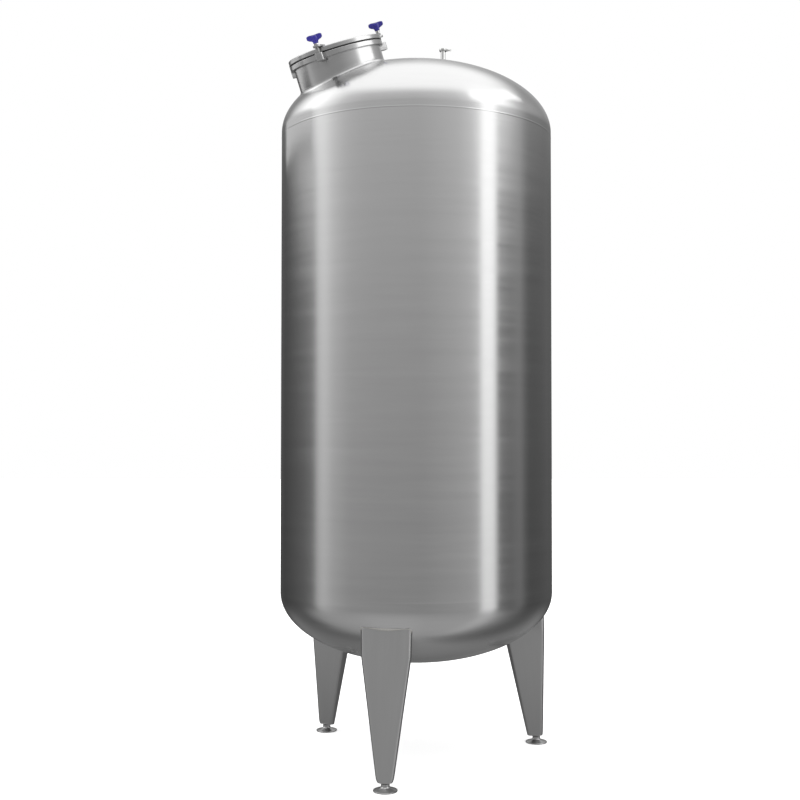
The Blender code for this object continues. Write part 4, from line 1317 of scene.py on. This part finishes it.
def make_feet():
    """Feet: a threaded stud with its lock nut, and a round foot plate that domes up to a hub."""
    foot = user_values("foot")
    leg = user_values("leg")
    bevel, steepness, nut_foot, flare, flare_rise = 0.001, 1.6, 0.010, 1.15, 1.25
    bell = np.linspace(0, 1, 12)
    slope = foot.edge + (foot.dish - foot.edge) * bell**steepness
    start, end = foot.radius - 2 * bevel, foot.hub * flare
    dome = np.stack([start + (end - start) * bell, slope], axis=1)
    hub = [dome[-1], (foot.hub, foot.dish * flare_rise), (foot.hub, foot.hub_top), (0, foot.hub_top)]
    rim = [
        (0.0, 0.0),
        (foot.radius - bevel, 0.0),
        (foot.radius, bevel),
        (foot.radius, foot.edge - bevel),
        dome[0],
    ]
    profile = np.concatenate([softened(rim, 0.0006, 4), dome[1:], softened(hub, 0.0016, 5)])
    for number in range(1, LEG_COUNT + 1):
        place = foot_place(number)
        plate = turned_grid(profile, place)
        add_piece(f"foot_disc_{number}", [plate], leg_steel(), "foot_steel", [f"foot_{number}"])
        thread = threaded(foot.stud, foot.hub_top + FIT_GAP, foot.stud_top, foot.pitch, place, 48)
        low, high = foot.hub_top + nut_foot, leg.base_height - FIT_GAP
        nut = slab_grid(hexagon(foot.nut), low, high, place, edge=0.0011)
        nodes = [f"foot_stud_{number}"]
        add_piece(f"foot_screw_{number}", [thread, nut], bright_steel(), "foot_steel", nodes)


# The stage
def read_through(node, stops):
    """The output of a ramp node given straight lines between its stops of (place from 0 to 1, level)."""
    elements = node.color_ramp.elements
    while len(elements) > 1:
        elements.remove(elements[-1])
    for index, (at, level) in enumerate(stops):
        element = elements[0] if index == 0 else elements.new(at)
        element.position = at
        element.color = (level, level, level, 1)
    return node.outputs["Color"]


def make_world(scene):
    """A room of soft boxes for the steel to mirror, and plain white behind for the camera."""
    world = bpy.data.worlds.new("studio")
    world.use_nodes = True
    tree = world.node_tree
    tree.nodes.clear()
    way = add(tree, "TexCoord").outputs["Generated"]
    part = add(tree, "SeparateXYZ", {0: way})
    toward = add(tree, "Math", {0: part.outputs[1], 1: -1.0}, operation="MULTIPLY")
    compass = add(tree, "Math", {0: part.outputs[0], 1: toward.outputs[0]}, operation="ARCTAN2")
    height = add(tree, "Math", {0: part.outputs[2]}, operation="ARCSINE")

    def between(angle, start, end, **settings):
        """An angle's share of the way from a start to an end in degrees."""
        span = {"Value": angle.outputs[0], "From Min": math.radians(start), "From Max": math.radians(end)}
        return add(tree, "MapRange", span, **settings).outputs[0]

    def read_off_stops(angle, reach, stops):
        """The level at an angle that runs as far to either side as the reach, in degrees."""
        shares = [((at + reach) / (2 * reach), level) for at, level in stops]
        return read_through(add(tree, "ValToRGB", {"Fac": between(angle, -reach, reach)}), shares)

    def over(low, high, span):
        """The second colour over the first as the way rises through a span of degrees."""
        rise = between(height, *span, interpolation_type="SMOOTHSTEP")
        return add(tree, "Mix", {"Factor": rise, "A": low, "B": high}, data_type="RGBA").outputs[2]

    low, middle, high = (read_off_stops(compass, 180, stops) for stops in (UNDERNEATH, EYE_LEVEL, OVERHEAD))
    around_tank = over(over(low, middle, EYE_LEVEL_ON), high, OVERHEAD_ON)
    around_tank = over(around_tank, (CEILING, CEILING, CEILING, 1), CEILING_ON)
    fall = read_off_stops(height, 90, FALL_OFF)
    room = add(tree, "VectorMath", {0: around_tank, 1: fall}, operation="MULTIPLY")
    mirrored = add(tree, "Background", {"Color": room.outputs[0]})
    behind = add(tree, "Background", {"Color": (1, 1, 1, 1)})
    seen = add(tree, "LightPath").outputs["Is Camera Ray"]
    both = add(tree, "MixShader", {0: seen, 1: mirrored.outputs[0], 2: behind.outputs[0]})
    add(tree, "OutputWorld", {"Surface": both.outputs[0]})
    scene.world = world


def pale_floor(tree, tint, glow):
    """Plain painted floor: matt and pale, lifted so that only soft shadows show on it."""
    spot = add(tree, "TexCoord").outputs["Object"]
    patch = add(tree, "TexNoise", {"Vector": spot, "Scale": 0.8, "Detail": 2.0})
    tone = add(tree, "MapRange", {"Value": patch.outputs[0], "To Min": 0.985, "To Max": 1.0})
    shade = add(tree, "VectorMath", {0: (*tint,), "Scale": tone.outputs[0]}, operation="SCALE")
    values = {
        "Base Color": shade.outputs[0],
        "Roughness": 0.9,
        "Specular IOR Level": 0.1,
        "Emission Color": (1, 1, 1, 1),
        "Emission Strength": glow,
    }
    return add(tree, "BsdfPrincipled", values)


def shaded_floor(tree, level):
    """The tank's own shade on the floor, which fades out with the distance from its middle."""
    spot = add(tree, "TexCoord").outputs["Object"]
    narrowed = add(tree, "VectorMath", {0: spot, 1: (1 / SHADE_WIDTH, 1, 1)}, operation="MULTIPLY")
    reach = add(tree, "VectorMath", {0: narrowed.outputs[0]}, operation="LENGTH").outputs["Value"]
    part = add(tree, "Math", {0: reach, 1: SHADE_RIM}, operation="DIVIDE")
    stops = [(at / SHADE_RIM, amount) for at, amount in SHADE]
    cover = read_through(add(tree, "ValToRGB", {"Fac": part.outputs[0]}), stops)
    values = {
        "Base Color": (0, 0, 0, 1),
        "Specular IOR Level": 0.0,
        "Emission Color": (1, 1, 1, 1),
        "Emission Strength": level,
        "Alpha": cover,
    }
    return add(tree, "BsdfPrincipled", values)


def soft_light(tree, level):
    """The even white front of a soft box."""
    return add(tree, "Emission", {"Color": (1, 1, 1, 1), "Strength": level})


def level_square(side, height):
    """A level square's corners about the tank's axis."""
    return [(x * side / 2, y * side / 2, height) for x, y in ((-1, -1), (1, -1), (1, 1), (-1, 1))]


def stage_card(name, corners, finish):
    """A flat card that belongs to the studio."""
    mesh = bpy.data.meshes.new(name)
    mesh.from_pydata(corners, [], [(0, 1, 2, 3)])
    mesh.materials.append(finish)
    obj = new_object(name, mesh)
    return obj


def make_stage():
    """Stage: pale floor, soft studio light and the camera where the picture was taken from."""
    scene = bpy.context.scene
    studio = scene.tank_studio
    paint = new_finish("studio_floor", pale_floor, scene.tank_finishes.floor, studio.floor_glow)
    floor = stage_card("studio_floor", level_square(studio.floor_size, 0.0), paint)
    floor.visible_glossy = False
    shaded = new_finish("studio_shade", shaded_floor, studio.shade)
    shade = stage_card("studio_shade", level_square(2 * SHADE_WIDTH * SHADE_RIM, SHADE_HEIGHT), shaded)
    shade.location.y = SHADE_BACK
    cards = [shade]
    for number, (level, x, (near, far), (low, high)) in enumerate(NEAR_LIGHTS, 1):
        glow = new_finish(f"studio_light_{number}", soft_light, level)
        corners = [(x, near, low), (x, far, low), (x, far, high), (x, near, high)]
        cards.append(stage_card(f"studio_light_{number}", corners, glow))
    for card in cards:
        card.visible_camera = False
        card.visible_diffuse = False
        card.visible_shadow = False
    make_world(scene)
    lens = bpy.data.cameras.new("camera")
    lens.lens = studio.lens
    lens.sensor_width = 36.0
    lens.shift_x = studio.shift
    lens.clip_end = 200.0
    camera = new_object("camera", lens)
    camera.location = (0.0, -studio.distance, studio.height)
    camera.rotation_euler = (math.pi / 2 + studio.pitch, 0.0, 0.0)
    scene.camera = camera
    scene.view_settings.view_transform = "Standard"
    scene.view_settings.look = "None"


def operator(identifier, label, make):
    """An operator class that runs one maker, with the maker's own words as its help."""

    def execute(self, context):
        make()
        return {"FINISHED"}

    body = {"bl_idname": identifier, "bl_label": label, "__doc__": make.__doc__, "execute": execute}
    return type("TANK_OT_" + identifier.split(".")[1], (Operator,), body)


OPERATORS = [
    operator("tank.shell", "Shell", make_shell),
    operator("tank.top_head", "Top head", make_top_head),
    operator("tank.bottom_head", "Bottom head", make_bottom_head),
    operator("tank.outlet", "Outlet", make_outlet),
    operator("tank.neck", "Manway neck", make_neck),
    operator("tank.lid", "Manway lid", make_lid),
    operator("tank.closures", "Bars and blocks", make_closures),
    operator("tank.screws", "Wing screws", make_screws),
    operator("tank.hinge", "Lid hinge", make_hinge),
    operator("tank.vent", "Vent", make_vent),
    operator("tank.legs", "Legs", make_legs),
    operator("tank.feet", "Feet", make_feet),
    operator("tank.stage", "Stage", make_stage),
]
GROUPS = {
    "tank_vessel": VesselSizes,
    "tank_manway": ManwaySizes,
    "tank_closure": ClosureSizes,
    "tank_hinge": HingeSizes,
    "tank_vent": VentSizes,
    "tank_outlet": OutletSizes,
    "tank_leg": LegSizes,
    "tank_foot": FootSizes,
    "tank_finishes": Finishes,
    "tank_studio": StudioSettings,
}


class TANK_PT_builder(Panel):
    """Lists the sizes and the build steps"""

    bl_label = "Storage tank"
    bl_space_type = "VIEW_3D"
    bl_region_type = "UI"
    bl_category = "Tank"

    def draw(self, context):
        for name, group in GROUPS.items():
            box = self.layout.box()
            box.label(text=group.__name__)
            for key in group.__annotations__:
                box.prop(getattr(context.scene, name), key)
        for step in OPERATORS:
            self.layout.operator(step.bl_idname)


def register():
    """Registers the sizes, the build steps and the panel."""
    for group in GROUPS.values():
        bpy.utils.register_class(group)
    for name, group in GROUPS.items():
        setattr(bpy.types.Scene, name, PointerProperty(type=group))
    for step in OPERATORS:
        bpy.utils.register_class(step)
    bpy.utils.register_class(TANK_PT_builder)


def unregister():
    """Takes back what register added, in reverse."""
    bpy.utils.unregister_class(TANK_PT_builder)
    for step in reversed(OPERATORS):
        bpy.utils.unregister_class(step)
    for name, group in reversed(GROUPS.items()):
        delattr(bpy.types.Scene, name)
        bpy.utils.unregister_class(group)


def main():
    """Builds the tank through its operators and writes its sizes."""
    register()
    for step in OPERATORS:
        getattr(bpy.ops.tank, step.bl_idname.split(".")[1])()


if __name__ == "__main__":
    main()
